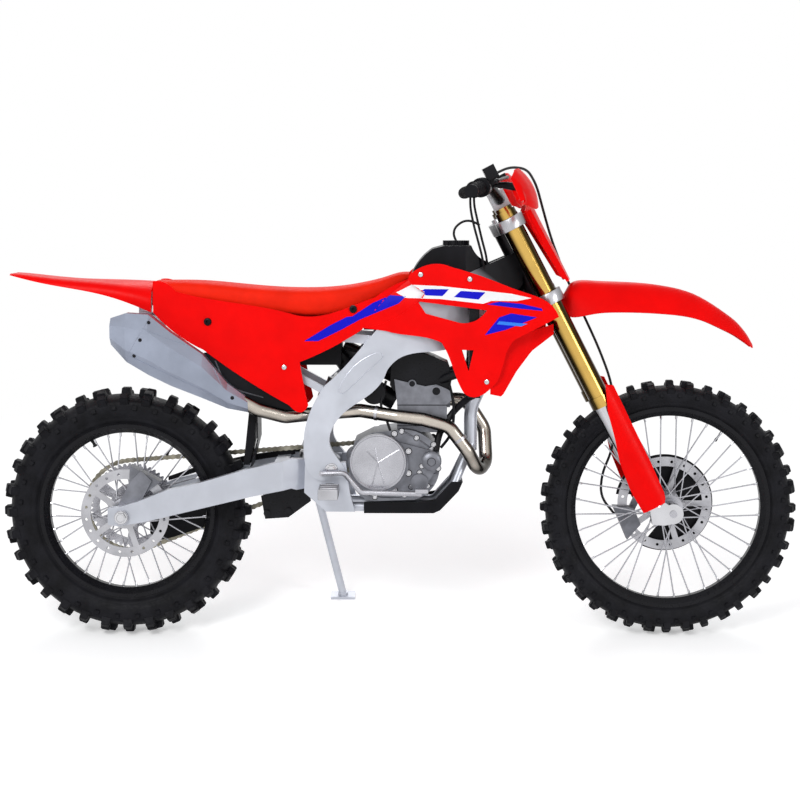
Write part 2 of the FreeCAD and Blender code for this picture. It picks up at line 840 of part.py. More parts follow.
def chain_band(halves, width):
    """A closed band along the chain's line, with one half height at each place in turn."""
    outer = []
    inner = []
    for i, (x, z, turn) in enumerate(chain_line()):
        a, b = polar(halves[i % 2], turn)
        outer.append((x + a, z + b))
        inner.append((x - a, z - b))
    low_y = CHAIN_Y - width / 2
    high_y = CHAIN_Y + width / 2
    return plate(outer, low_y, high_y).cut(plate(inner, low_y - OVERRUN, high_y + OVERRUN))


def chain_room():
    """The room that the chain needs round its line."""
    half = CHAIN_HALF_HEIGHT + RUN_GAP
    return chain_band((half, half), CHAIN_WIDTH + 2 * RUN_GAP)


def drive_chain():
    """The chain as one band whose plates swell at every pin."""
    return chain_band((CHAIN_HALF_HEIGHT, CHAIN_WAIST), CHAIN_WIDTH)


def counter_sprocket():
    """The small sprocket at the engine, on its shaft."""
    low_y = CHAIN_Y - SPROCKET_WALL / 2
    radius = COUNTER_PITCH_RADIUS - CHAIN_HALF_HEIGHT - SPROCKET_GAP
    wheel = disc(radius, low_y, low_y + SPROCKET_WALL, COUNTER_X, COUNTER_Z)
    shaft = disc(COUNTER_SHAFT_RADIUS, CHAIN_Y - CHAIN_WIDTH,
                 low_y + SPROCKET_WALL + FLANGE_WALL, COUNTER_X, COUNTER_Z)
    return wheel.fuse(shaft)


COUNTER_SHAFT_RADIUS = 12.0
GUIDE_REAR_X = -690.0
GUIDE_LENGTH = 160.0
GUIDE_LOW_Z = 240.0
GUIDE_HEIGHT = 106.0
GUIDE_WALL = 3.0
GUIDE_SIDE_GAP = 2.0
GUIDE_SHARES = ((0.0, 0.70), (0.5, 0.82), (1.0, 1.0), (0.95, 0.37), (0.42, 0.10), (0.14, 0.0),
                (0.0, 0.2))
GUIDE_SLOT_HALF = 12.0
GUIDE_TAB_X = -592.0
GUIDE_TAB = 28.0


def chain_guide():
    """A guide under the arm that the lower run of the chain passes through."""
    half = CHAIN_WIDTH / 2 + GUIDE_SIDE_GAP
    points = side_points(GUIDE_SHARES, GUIDE_REAR_X, GUIDE_LOW_Z, GUIDE_LENGTH, GUIDE_HEIGHT)
    block = plate(points, CHAIN_Y - half - GUIDE_WALL, CHAIN_Y + half + GUIDE_WALL)
    run = [(x, z) for x, z, turn in chain_line()]
    lower = [p for p in run if p[1] < PIVOT_Z - ARM_PIVOT_RADIUS and p[0] > REAR_AXLE_X]
    first = min(lower)
    last = max(lower)
    start = vec(first[0], CHAIN_Y, first[1])
    end = vec(last[0], CHAIN_Y, last[1])
    way = bar(start, end, 2 * half, 2 * GUIDE_SLOT_HALF)
    room = disc(SPROCKET_PITCH_RADIUS, CHAIN_Y - half, CHAIN_Y + half, REAR_AXLE_X,
                REAR_TYRE_RADIUS)
    hub_room = disc(SPROCKET_SEAT_RADIUS + RUN_GAP, 0, CHAIN_Y, REAR_AXLE_X, REAR_TYRE_RADIUS)
    tab = box(GUIDE_TAB_X, GUIDE_TAB_X + GUIDE_TAB, CHAIN_Y + half, ARM_AXLE_Y - ARM_WALL,
              GUIDE_LOW_Z + GUIDE_HEIGHT - GUIDE_TAB, GUIDE_LOW_Z + GUIDE_HEIGHT + GUIDE_TAB)
    return block.cut(way).cut(room).cut(hub_room).fuse(tab)


# Steering, drawn in the fork's own frame: X ahead of the steering axis, Z up along it

def clamp(low, height):
    """One fork clamp: a round boss at each tube and at the stem, joined by a web."""
    outer = FORK_TUBE_RADIUS + CLAMP_WALL
    up = vec(0, 0, 1)
    body = Part.makeCylinder(CLAMP_WEB / 2, height, vec(0, 0, low), up)
    half = CLAMP_WEB / 2
    web = [vec(-half, half, low), vec(CLAMP_OFFSET - half, FORK_SPREAD, low),
           vec(CLAMP_OFFSET + half, FORK_SPREAD, low), vec(half, 0, low),
           vec(CLAMP_OFFSET + half, -FORK_SPREAD, low), vec(CLAMP_OFFSET - half, -FORK_SPREAD, low),
           vec(-half, -half, low)]
    body = body.fuse(Part.Face(polygon(web)).extrude(up * height))
    for sign in (-1, 1):
        place = vec(CLAMP_OFFSET, sign * FORK_SPREAD, low)
        body = body.fuse(Part.makeCylinder(outer, height, place, up))
    for sign in (-1, 1):
        place = vec(CLAMP_OFFSET, sign * FORK_SPREAD, low - OVERRUN)
        body = body.cut(Part.makeCylinder(FORK_TUBE_RADIUS, height + 2 * OVERRUN, place, up))
    return body


def triple_clamps():
    """Both clamps, the stem with its nut, and the blocks that hold the handlebar."""
    top = UPPER_CLAMP_LOW + CLAMP_HEIGHT
    body = clamp(UPPER_CLAMP_LOW, CLAMP_HEIGHT).fuse(clamp(LOWER_CLAMP_LOW, CLAMP_HEIGHT))
    body = body.fuse(rod(vec(0, 0, LOWER_CLAMP_LOW), vec(0, 0, top), STEM_RADIUS))
    body = body.fuse(rod(vec(0, 0, top), vec(0, 0, top + STEM_NUT_HEIGHT), STEM_NUT_RADIUS))
    for sign in (-1, 1):
        middle = sign * RISER_Y
        riser = box(BAR_U - RISER_DEPTH / 2, BAR_U + RISER_DEPTH / 2, middle - RISER_WIDTH / 2,
                    middle + RISER_WIDTH / 2, top, BAR_W + RISER_CAP)
        body = body.fuse(riser)
    hole = disc(BAR_CENTRE_RADIUS, -RISER_Y - RISER_WIDTH, RISER_Y + RISER_WIDTH, BAR_U, BAR_W)
    return steered(body.cut(hole))


def fork_tubes():
    """The two outer tubes, each with its cap and its seal ring."""
    def one(sign):
        def place(w):
            return vec(CLAMP_OFFSET, sign * FORK_SPREAD, w)
        body = rod(place(FORK_TUBE_LOW), place(FORK_TUBE_HIGH), FORK_TUBE_RADIUS)
        body = body.fuse(rod(place(FORK_TUBE_HIGH), place(FORK_TUBE_HIGH + FORK_CAP_HEIGHT),
                             FORK_CAP_RADIUS))
        seal = rod(place(FORK_TUBE_LOW), place(FORK_TUBE_LOW + FORK_SEAL_HEIGHT), FORK_SEAL_RADIUS)
        return body.fuse(seal)
    return steered(Part.makeCompound([one(1), one(-1)]))


def fork_legs():
    """The bright inner tubes, each in a cast foot that reaches ahead to the axle."""
    inner = FORK_SPREAD - LUG_WIDTH / 2
    outer = FORK_SPREAD + LUG_WIDTH / 2
    low = vec(CLAMP_OFFSET, FORK_SPREAD, LEG_CASTING_LOW)
    knee = vec(CLAMP_OFFSET, FORK_SPREAD, LEG_CASTING_HIGH)
    top = vec(CLAMP_OFFSET, FORK_SPREAD, FORK_TUBE_LOW)
    body = rod(knee, top, STANCHION_RADIUS).fuse(rod(low, knee, LEG_CASTING_RADIUS))
    lug = disc(LUG_RADIUS, inner, outer, OFFSET, 0)
    ridge = [(CLAMP_OFFSET - LEG_CASTING_RADIUS, 0), (CLAMP_OFFSET, -LEG_CASTING_RADIUS * 0.6),
             (OFFSET, -LUG_RADIUS), (OFFSET, LUG_RADIUS), (CLAMP_OFFSET, LEG_CASTING_HIGH * 0.8)]
    body = body.fuse(lug).fuse(plate(ridge, inner, outer))
    hole = disc(FRONT_AXLE_RADIUS, inner - LUG_WIDTH, outer + LUG_WIDTH, OFFSET, 0)
    return steered(pair(body.cut(hole)))


def front_axle():
    """The axle with its nut end and the two spacers beside the hub."""
    inner = FORK_SPREAD - LUG_WIDTH / 2
    outer = FORK_SPREAD + LUG_WIDTH / 2
    body = disc(FRONT_AXLE_RADIUS, -outer - FLANGE_WALL, outer + FLANGE_WALL)
    for low, high in ((-inner, FRONT_HUB_RIGHT - TOUCH), (FRONT_DISC_Y + DISC_WALL / 2 + TOUCH, inner)):
        body = body.fuse(disc(SPACER_RADIUS, low, high))
    nut = disc(SPACER_RADIUS, outer, outer + 2 * FLANGE_WALL)
    return at_axle(body.fuse(nut), FRONT_AXLE_X, FRONT_TYRE_RADIUS)


def bar_points():
    """The handlebar's middle line, from the right end to the left."""
    left = [vec(BAR_U, BAR_FLAT_Y, BAR_W), vec(BAR_RISE_U, BAR_RISE_Y, BAR_RISE_W),
            vec(BAR_END_U, BAR_END_Y, BAR_END_W)]
    right = [vec(p.x, -p.y, p.z) for p in reversed(left)]
    return right + left


def along_bar(y):
    """A point on the straight outer stretch of the left half of the bar."""
    start = vec(BAR_RISE_U, BAR_RISE_Y, BAR_RISE_W)
    end = vec(BAR_END_U, BAR_END_Y, BAR_END_W)
    share = (y - BAR_RISE_Y) / (BAR_END_Y - BAR_RISE_Y)
    return start + (end - start) * share


BAR_TAPER_START = 197.0
BAR_TAPER_END = 209.0


def handlebar():
    """A tapered bar: thick in the middle, thin from the controls out to the ends."""
    right, left = along_bar(BAR_TAPER_START), along_bar(BAR_TAPER_START)
    right = vec(right.x, -right.y, right.z)
    thick = tube([right] + bar_points()[1:-1] + [left], BAR_CENTRE_RADIUS, BAR_BEND)
    start = along_bar(BAR_TAPER_START)
    narrow = along_bar(BAR_TAPER_END)
    end = along_bar(BAR_END_Y)
    cone = Part.makeCone(BAR_CENTRE_RADIUS, BAR_END_RADIUS, (narrow - start).Length, start,
                         narrow - start)
    outer = cone.fuse(rod(narrow, end, BAR_END_RADIUS))
    return steered(thick.fuse(outer).fuse(mirrored(outer)))


def grips():
    """Rubber grips with a flange at the inner end."""
    start = along_bar(BAR_END_Y - GRIP_LENGTH)
    lip = along_bar(BAR_END_Y - GRIP_LENGTH + GRIP_FLANGE_WALL)
    end = along_bar(BAR_END_Y + GRIP_FLANGE_WALL)
    body = rod(start, end, GRIP_RADIUS).fuse(rod(start, lip, GRIP_FLANGE_RADIUS))
    hole = rod(along_bar(BAR_TAPER_END), along_bar(BAR_END_Y), BAR_END_RADIUS)
    return steered(pair(body.cut(hole)))


LEVER_SHARES = ((0.0, 0.0), (0.25, 0.9), (1.0, 1.0))


def lever():
    """A flat finger lever on its perch, ahead of the left grip."""
    y = PERCH_Y
    ring = rod(along_bar(y - PERCH_WIDTH / 2), along_bar(y + PERCH_WIDTH / 2), PERCH_RADIUS)
    middle = along_bar(y)
    reach = LEVER_U - PERCH_RADIUS
    perch = box(middle.x, middle.x + LEVER_U, y - PERCH_WIDTH / 2, y + PERCH_WIDTH / 2,
                middle.z - LEVER_BROAD / 2, middle.z + LEVER_BROAD / 2)
    tip = along_bar(LEVER_TIP_Y)
    root = vec(middle.x + LEVER_U - LEVER_THICK, y, middle.z - LEVER_THICK / 2)
    bend = vec(middle.x + LEVER_U, y + reach, middle.z - LEVER_DROP)
    end = vec(tip.x + LEVER_U, LEVER_TIP_Y, tip.z - LEVER_DROP)
    blade = tube([root, bend, end], LEVER_THICK / 2, LEVER_BROAD)
    knob_end = Part.makeSphere(LEVER_THICK * 0.8, end)
    hole = rod(along_bar(BAR_TAPER_END - PERCH_WIDTH / 2), along_bar(BAR_END_Y), BAR_END_RADIUS)
    return ring.fuse(perch).fuse(blade).fuse(knob_end).cut(hole)


def controls():
    """The clutch lever, the brake lever with its master cylinder, and the throttle housing."""
    left = lever()
    middle = along_bar(PERCH_Y)
    tank = box(middle.x + LEVER_BROAD, middle.x + LEVER_BROAD + RESERVOIR_WIDTH,
               PERCH_Y - RESERVOIR_LENGTH / 2, PERCH_Y + RESERVOIR_LENGTH / 2,
               middle.z + LEVER_BROAD / 2, middle.z + LEVER_BROAD / 2 + RESERVOIR_HEIGHT)
    right = mirrored(lever().fuse(tank))
    end = BAR_END_Y - GRIP_LENGTH
    housing = rod(along_bar(end - THROTTLE_WIDTH), along_bar(end), THROTTLE_RADIUS)
    hole = rod(along_bar(BAR_TAPER_END), along_bar(BAR_END_Y), BAR_END_RADIUS)
    housing = mirrored(housing.cut(hole))
    return steered(Part.makeCompound([left, right.fuse(housing)]))


def handguards():
    """Curved shells ahead of the levers, each on an arm from the bar."""
    plan = [vec(GUARD_FRONT_U - GUARD_BOW, GUARD_INNER_Y, GUARD_LOW_W),
            vec(GUARD_FRONT_U, (GUARD_INNER_Y + GUARD_OUTER_Y) / 2, GUARD_LOW_W),
            vec(GUARD_FRONT_U - 2 * GUARD_BOW, GUARD_OUTER_Y, GUARD_LOW_W)]
    back = [p - vec(GUARD_WALL, 0, 0) for p in reversed(plan)]
    wire = Part.Wire([curve(plan), Part.makeLine(plan[-1], back[0]), curve(back),
                      Part.makeLine(back[-1], plan[0])])
    shell = Part.Face(wire).extrude(vec(0, 0, GUARD_HIGH_W - GUARD_LOW_W))
    height = GUARD_HIGH_W - GUARD_LOW_W
    width = GUARD_OUTER_Y - GUARD_INNER_Y
    cut_points = [vec(0, GUARD_INNER_Y + a * width, GUARD_LOW_W + b * height)
                  for a, b in GUARD_SHARES]
    front = Part.Face(polygon(cut_points)).extrude(vec(GUARD_FRONT_U + GUARD_BOW, 0, 0))
    shell = shell.common(front)
    start = along_bar(GUARD_ARM_Y)
    reach = vec(GUARD_FRONT_U - GUARD_BOW / 2, GUARD_INNER_Y + GUARD_ARM_WIDTH, start.z - GUARD_BOW)
    arm = rod(start, reach, GUARD_ARM_WIDTH / 2)
    ring = rod(along_bar(GUARD_ARM_Y - GUARD_ARM_WIDTH / 2),
               along_bar(GUARD_ARM_Y + GUARD_ARM_WIDTH / 2), BAR_CENTRE_RADIUS + GUARD_WALL)
    hole = rod(along_bar(GUARD_ARM_Y - GUARD_ARM_WIDTH), along_bar(GUARD_ARM_Y + GUARD_ARM_WIDTH),
               BAR_CENTRE_RADIUS)
    body = shell.fuse(arm).fuse(ring).cut(hole)
    return steered(pair(body))


GUARD_SHARES = ((0.0, 0.25), (0.1, 0.05), (0.75, 0.0), (1.0, 0.25), (0.98, 0.85), (0.8, 1.0),
                (0.3, 0.92), (0.05, 0.6))


PLATE_SHARES = ((0.62, 0.0), (0.80, 0.35), (1.0, 0.72), (0.96, 0.96), (0.80, 1.0))


def number_plate():
    """The bare plate at the front, bowed round the fork tubes."""
    half = PLATE_HALF_WIDTH
    front = [vec(PLATE_FRONT_U - PLATE_BOW, -half, PLATE_LOW_W),
             vec(PLATE_FRONT_U, 0, PLATE_LOW_W),
             vec(PLATE_FRONT_U - PLATE_BOW, half, PLATE_LOW_W)]
    back = [p - vec(PLATE_WALL, 0, 0) for p in reversed(front)]
    wire = Part.Wire([curve(front), Part.makeLine(front[-1], back[0]), curve(back),
                      Part.makeLine(back[-1], front[0])])
    shell = Part.Face(wire).extrude(vec(0, 0, PLATE_HEIGHT))
    right = [(a * half, b * PLATE_HEIGHT) for a, b in PLATE_SHARES]
    outline = right + [(-y, w) for y, w in reversed(right)]
    cut = Part.Face(polygon([vec(0, y, PLATE_LOW_W + w) for y, w in outline]))
    shell = shell.common(cut.extrude(vec(PLATE_FRONT_U + PLATE_BOW, 0, 0)))
    behind = Part.Face(Part.Wire([curve(front), Part.makeLine(front[-1], front[0])]))
    behind = behind.extrude(vec(0, 0, PLATE_HEIGHT))
    behind = behind.fuse(box(0, PLATE_FRONT_U - PLATE_BOW, -half, half, PLATE_LOW_W,
                             PLATE_LOW_W + PLATE_HEIGHT))
    pad = box(CLAMP_OFFSET + FORK_TUBE_RADIUS + CLAMP_WALL / 2, PLATE_FRONT_U, FORK_SPREAD - 2 * PLATE_PAD, FORK_SPREAD - PLATE_PAD,
              UPPER_CLAMP_LOW + PLATE_PAD, UPPER_CLAMP_LOW + 2 * PLATE_PAD)
    pads = both_sides(pad).common(behind)
    return steered(shell.fuse(pads))


def arch_wire(x, top, low, half, wall):
    """One section of a fender: a bowed roof with sides that hang down."""
    drop = top - low
    outer = [vec(x, -half, low), vec(x, -0.9 * half, top - 0.35 * drop),
             vec(x, -0.45 * half, top - 0.08 * drop), vec(x, 0, top),
             vec(x, 0.45 * half, top - 0.08 * drop), vec(x, 0.9 * half, top - 0.35 * drop),
             vec(x, half, low)]
    inner = [vec(x, half - wall, low), vec(x, 0.9 * half - wall, top - 0.35 * drop - wall),
             vec(x, 0.45 * half, top - 0.08 * drop - wall), vec(x, 0, top - wall),
             vec(x, -0.45 * half, top - 0.08 * drop - wall),
             vec(x, -0.9 * half + wall, top - 0.35 * drop - wall), vec(x, -half + wall, low)]
    return Part.Wire([curve(outer), Part.makeLine(outer[-1], inner[0]), curve(inner),
                      Part.makeLine(inner[-1], outer[0])])


FENDER_STATIONS_SHARES = ((0.0, 0.59, 0.48, 0.86), (0.10, 0.74, 0.50, 0.88),
                          (0.16, 0.98, 0.46, 0.95), (0.30, 0.985, 0.53, 1.0),
                          (0.53, 0.91, 0.52, 0.98), (0.72, 0.69, 0.40, 0.86),
                          (0.90, 0.26, 0.12, 0.62), (1.0, 0.02, -0.02, 0.36))


def front_fender():
    """A long beak under the lower clamp, over the front wheel."""
    wires = []
    for along, top, low, half in FENDER_STATIONS_SHARES:
        wires.append(arch_wire(FENDER_REAR_X + along * FENDER_LENGTH,
                               FENDER_LOW_Z + top * FENDER_HEIGHT,
                               FENDER_LOW_Z + low * FENDER_HEIGHT,
                               half * FENDER_HALF_WIDTH, FENDER_WALL))
    boss = rod(steer_point(CLAMP_OFFSET, 0, LOWER_CLAMP_LOW - FENDER_BOSS_LENGTH),
               steer_point(CLAMP_OFFSET, 0, LOWER_CLAMP_LOW), FENDER_BOSS)
    return Part.makeLoft(wires, True, False).fuse(boss)


LEG_GUARD_SHARES = ((-0.75, 1.0), (0.9, 1.0), (1.25, 0.9), (1.55, 0.35), (2.0, 0.12), (1.5, 0.02),
                    (-0.55, 0.0), (-0.95, 0.3), (-0.75, 0.75))


def fork_guards():
    """Long shields on the outside and front of the inner tubes."""
    radius = LEG_CASTING_RADIUS + LEG_GUARD_GAP
    u = CLAMP_OFFSET
    plan = [vec(u - radius, FORK_SPREAD + radius * 0.8, 0), vec(u, FORK_SPREAD + radius * 1.1, 0),
            vec(u + radius, FORK_SPREAD + radius * 0.9, 0), vec(u + 2 * radius, FORK_SPREAD, 0)]
    back = [p - vec(LEG_GUARD_WALL * 0.6, LEG_GUARD_WALL, 0) for p in reversed(plan)]
    wire = Part.Wire([curve(plan), Part.makeLine(plan[-1], back[0]), curve(back),
                      Part.makeLine(back[-1], plan[0])])
    height = LEG_GUARD_HIGH - LEG_GUARD_LOW
    shell = Part.Face(wire).extrude(vec(0, 0, height))
    shell.translate(vec(0, 0, LEG_GUARD_LOW))
    outline = [(u + a * radius, LEG_GUARD_LOW + b * height) for a, b in LEG_GUARD_SHARES]
    guard = shell.common(plate(outline, 0, 2 * FORK_SPREAD))
    pad = box(u - LEG_GUARD_PAD, u + LEG_GUARD_PAD, FORK_SPREAD + LEG_CASTING_RADIUS - LEG_GUARD_PAD,
              FORK_SPREAD + radius * 1.1 - LEG_GUARD_WALL / 2, LEG_CASTING_HIGH - 4 * LEG_GUARD_PAD,
              LEG_CASTING_HIGH - LEG_GUARD_PAD)
    return steered(pair(guard.fuse(pad)))


CALIPER_SPREAD = 34.0


def caliper(radius, disc_y, middle):
    """A brake caliper that straddles its disc, drawn round the wheel's centre."""
    inner = radius - CALIPER_DEPTH + OVERRUN
    outer = radius + CALIPER_DEPTH / 3
    corners = []
    for r, turn in ((inner, -0.5), (inner, 0.5), (outer, 0.6), (outer, -0.6)):
        corners.append(polar(r, middle + turn * CALIPER_SPREAD))
    body = plate(corners, disc_y - CALIPER_WIDTH / 2, disc_y + CALIPER_WIDTH / 2)
    half = DISC_WALL / 2 + PAD_GAP
    return body.cut(disc(radius + PAD_GAP, disc_y - half, disc_y + half))


FRONT_CALIPER_TURN = 203.0
REAR_CALIPER_TURN = 62.0
BRACKET_WALL = 6.0


def front_caliper():
    """The front caliper with the bracket that ties it to the left fork foot."""
    body = caliper(FRONT_DISC_RADIUS, FRONT_DISC_Y, FRONT_CALIPER_TURN)
    face = FRONT_DISC_Y + CALIPER_WIDTH / 2
    inner = FORK_SPREAD - LUG_WIDTH / 2
    x, z = polar(FRONT_DISC_RADIUS - CALIPER_DEPTH / 2, FRONT_CALIPER_TURN)
    a, b = polar(AXLE_LEAD, 180)
    arm = [(x, z + CALIPER_DEPTH / 2), (x, z - CALIPER_DEPTH / 2), (a - AXLE_LEAD, b),
           (a - AXLE_LEAD, b + CALIPER_DEPTH)]
    bracket = plate(arm, face - BRACKET_WALL, inner)
    return at_axle(body.fuse(bracket), FRONT_AXLE_X, FRONT_TYRE_RADIUS)


def disc_cover():
    """The dished plastic shield outside the front disc."""
    high = DISC_COVER_Y + DISC_COVER_WALL
    cover = disc(DISC_COVER_RADIUS, DISC_COVER_Y, high)
    hub_hole = disc(SPACER_RADIUS, DISC_COVER_Y, high)
    inner = FORK_SPREAD - LUG_WIDTH / 2
    boss = disc(SPACER_RADIUS + FLANGE_WALL, high, inner).cut(disc(SPACER_RADIUS, high, inner))
    room = []
    for r, turn in ((0.45, -1.3), (0.45, 1.6), (1.3, 1.1), (1.3, -0.9)):
        room.append(polar(r * DISC_COVER_RADIUS, FRONT_CALIPER_TURN + turn * CALIPER_SPREAD))
    cover = cover.cut(hub_hole).fuse(boss).cut(plate(room, DISC_COVER_Y, high))
    return at_axle(cover, FRONT_AXLE_X, FRONT_TYRE_RADIUS)


# The frame and what is bolted to it, drawn in the bike's upright frame

def steer_point(u, y, w):
    """A point of the fork's own frame as a point of the bike."""
    return vec(STEER_X + u * RAKE_COS - w * RAKE_SIN, y, STEER_Z + u * RAKE_SIN + w * RAKE_COS)


def plan_prism(points, low_z, high_z):
    """An upright prism whose outline is drawn from above."""
    face = Part.Face(polygon([vec(x, y, low_z) for x, y in points]))
    return face.extrude(vec(0, 0, high_z - low_z))


def strip(points, wall):
    """The closed outline of a bent sheet of even wall, on the left of its path."""
    far = []
    for i, (x, z) in enumerate(points):
        a, b = points[max(i - 1, 0)]
        c, d = points[min(i + 1, len(points) - 1)]
        size = math.hypot(c - a, d - b)
        far.append((x - (d - b) / size * wall, z + (c - a) / size * wall))
    return points + far[::-1]


SPAR_REAR_X = -250.0
SPAR_LENGTH = 586.0
SPAR_LOW_Z = 440.0
SPAR_HEIGHT = 632.0
SPAR_SHARES = [[(0.13, 0.0)], [(0.03, 0.02), (0.0, 0.12), (0.02, 0.26), (0.10, 0.40)],
               [(0.21, 0.50), (0.36, 0.66), (0.60, 0.81)], [(1.0, 0.97)], [(1.0, 0.82)],
               [(0.84, 0.66), (0.66, 0.55), (0.45, 0.52), (0.38, 0.46)],
               [(0.30, 0.36), (0.17, 0.27), (0.12, 0.15), (0.18, 0.06), (0.20, 0.02)]]
PIVOT_PLATE_SHARES = ((0.0, 0.9), (-0.02, 0.35), (0.40, 0.0), (0.95, 0.0), (0.85, 0.35),
                      (0.78, 0.9))
PIVOT_PLATE_REAR_X = -246.0
PIVOT_PLATE_LOW_Z = 352.0
PIVOT_PLATE_LENGTH = 140.0
PIVOT_PLATE_HEIGHT = 148.0
CRADLE_FRONT_X = 100.0
CRADLE_KNEE_X = 150.0
CRADLE_KNEE_Z = 412.0
CRADLE_REAR_X = -150.0
DOWN_TUBE_X = 199.0
DOWN_TUBE_KNEE_Z = 620.0
DOWN_TUBE_LOW_Z = 505.0
SPLIT_Y = 12.0


def cradle_points():
    """The middle line of the left tube under the engine."""
    return [vec(DOWN_TUBE_X, SPLIT_Y, DOWN_TUBE_LOW_Z + DOWN_TUBE_RADIUS),
            vec(CRADLE_KNEE_X, CRADLE_Y, CRADLE_KNEE_Z),
            vec(CRADLE_FRONT_X, CRADLE_Y, CRADLE_Z), vec(CRADLE_REAR_X, CRADLE_Y, CRADLE_Z),
            vec(PIVOT_PLATE_REAR_X + PIVOT_PLATE_LENGTH / 2, SPAR_PIVOT_Y - SPAR_WALL / 2,
                CRADLE_Z + CRADLE_RADIUS)]


def spar_plan():
    """The outer face of the left spar, seen from above."""
    return [(SPAR_REAR_X, SPAR_PIVOT_Y), (SPAR_REAR_X + 0.33 * SPAR_LENGTH, SPAR_WIDE_Y),
            (SPAR_REAR_X + 0.60 * SPAR_LENGTH, SPAR_MIDDLE_Y - SPAR_WALL / 2),
            (SPAR_REAR_X + SPAR_LENGTH, SPAR_HEAD_Y)]


def spar_outline():
    """The left spar's outline, extruded outward from the middle."""
    return curved_plate(SPAR_SHARES, SPAR_REAR_X, SPAR_LOW_Z, SPAR_LENGTH, SPAR_HEIGHT, 0,
                        2 * SPAR_WIDE_Y)


def main_frame():
    """Twin spars from the head pipe to the pivot, a down tube and a split cradle."""
    plan = spar_plan()
    skin = sheet(plan, plan, SPAR_WALL, SPAR_LOW_Z - SPAR_WALL, SPAR_LOW_Z + SPAR_HEIGHT * 1.1)
    points = side_points(PIVOT_PLATE_SHARES, PIVOT_PLATE_REAR_X, PIVOT_PLATE_LOW_Z,
                         PIVOT_PLATE_LENGTH, PIVOT_PLATE_HEIGHT)
    casting = plate(points, SPAR_PIVOT_Y - SPAR_WALL, SPAR_PIVOT_Y)
    cradle = tube(cradle_points(), CRADLE_RADIUS, TUBE_BEND / 2)
    left = skin.common(spar_outline()).fuse(casting).fuse(cradle)
    body = left.fuse(mirrored(left))
    head_low = LOWER_CLAMP_LOW + CLAMP_HEIGHT + HEAD_GAP
    head_high = UPPER_CLAMP_LOW - HEAD_GAP
    neck = steer_point(0, 0, head_low + HEAD_PIPE_RADIUS * 1.5)
    down = tube([neck, vec(DOWN_TUBE_X, 0, DOWN_TUBE_KNEE_Z), vec(DOWN_TUBE_X, 0, DOWN_TUBE_LOW_Z)],
                DOWN_TUBE_RADIUS, TUBE_BEND * 2)
    pipe = rod(steer_point(0, 0, head_low), steer_point(0, 0, head_high), HEAD_PIPE_RADIUS)
    bore = rod(steer_point(0, 0, head_low - OVERRUN), steer_point(0, 0, head_high + OVERRUN),
               STEM_RADIUS + RUN_CLEARANCE)
    ring = rod(steer_point(0, 0, LOWER_CLAMP_LOW), steer_point(0, 0, head_low), 2 * FORK_SPREAD)
    top = rod(steer_point(0, 0, head_high), steer_point(0, 0, FORK_TUBE_HIGH), 2 * FORK_SPREAD)
    body = body.multiFuse([down, pipe]).cut(Part.makeCompound([bore, top, ring]))
    hole = disc(PIVOT_BOLT_RADIUS, -SPAR_WIDE_Y, SPAR_WIDE_Y, PIVOT_X, PIVOT_Z)
    ear = rod(stand_point(-STAND_EAR_LENGTH), stand_point(-STAND_BOSS_HALF - TOUCH),
              STAND_BOSS_RADIUS)
    link = plate([(STAND_X, STAND_Z - STAND_BOSS_RADIUS / 2), (STAND_X, STAND_Z + STAND_BOSS_RADIUS),
                  (STAND_X + STAND_EAR_LENGTH, STAND_Z + STAND_BOSS_RADIUS),
                  (STAND_X + STAND_EAR_LENGTH, STAND_Z - STAND_BOSS_RADIUS / 2)],
                 SPAR_PIVOT_Y - SPAR_WALL, SPAR_PIVOT_Y)
    return body.cut(hole).fuse(ear).fuse(link)


PIVOT_BOLT_RADIUS = 9.0
PIVOT_BOLT_HEAD = 13.0
STAND_EAR_LENGTH = 26.0


def stand_axis():
    """The side stand's pivot axis: square to both the lowered and the folded leg."""
    return vec(*STAND_DOWN_SHARES).cross(vec(*STAND_UP_SHARES)).normalize()


def stand_point(along):
    """A point on the side stand's pivot axis, outward from the middle of its boss."""
    return vec(STAND_X, STAND_Y, STAND_Z) + stand_axis() * along


ARM_SHARES = ((-0.034, 0.134), (0.089, 0.148), (0.193, 0.19), (0.405, 0.0), (0.618, -0.246),
              (0.783, -0.394), (0.925, -0.62), (1.004, -0.71), (1.067, -0.75), (1.067, -1.06),
              (1.02, -1.085), (0.90, -1.014), (0.783, -0.90), (0.618, -0.746), (0.382, -0.52),
              (0.193, -0.373), (0.169, -0.408), (0.089, -0.373), (-0.034, -0.134))
ARM_DROP = 142.0
BEAM_SHARES = ((0.215, 0.10), (0.28, 0.08), (0.28, -0.34), (0.215, -0.32))


def swingarm_points(shares):
    """Points along the arm, from the pivot back to the axle, level with the pivot."""
    length = PIVOT_X - REAR_AXLE_X
    return [(PIVOT_X - a * length, PIVOT_Z + b * ARM_DROP) for a, b in shares]


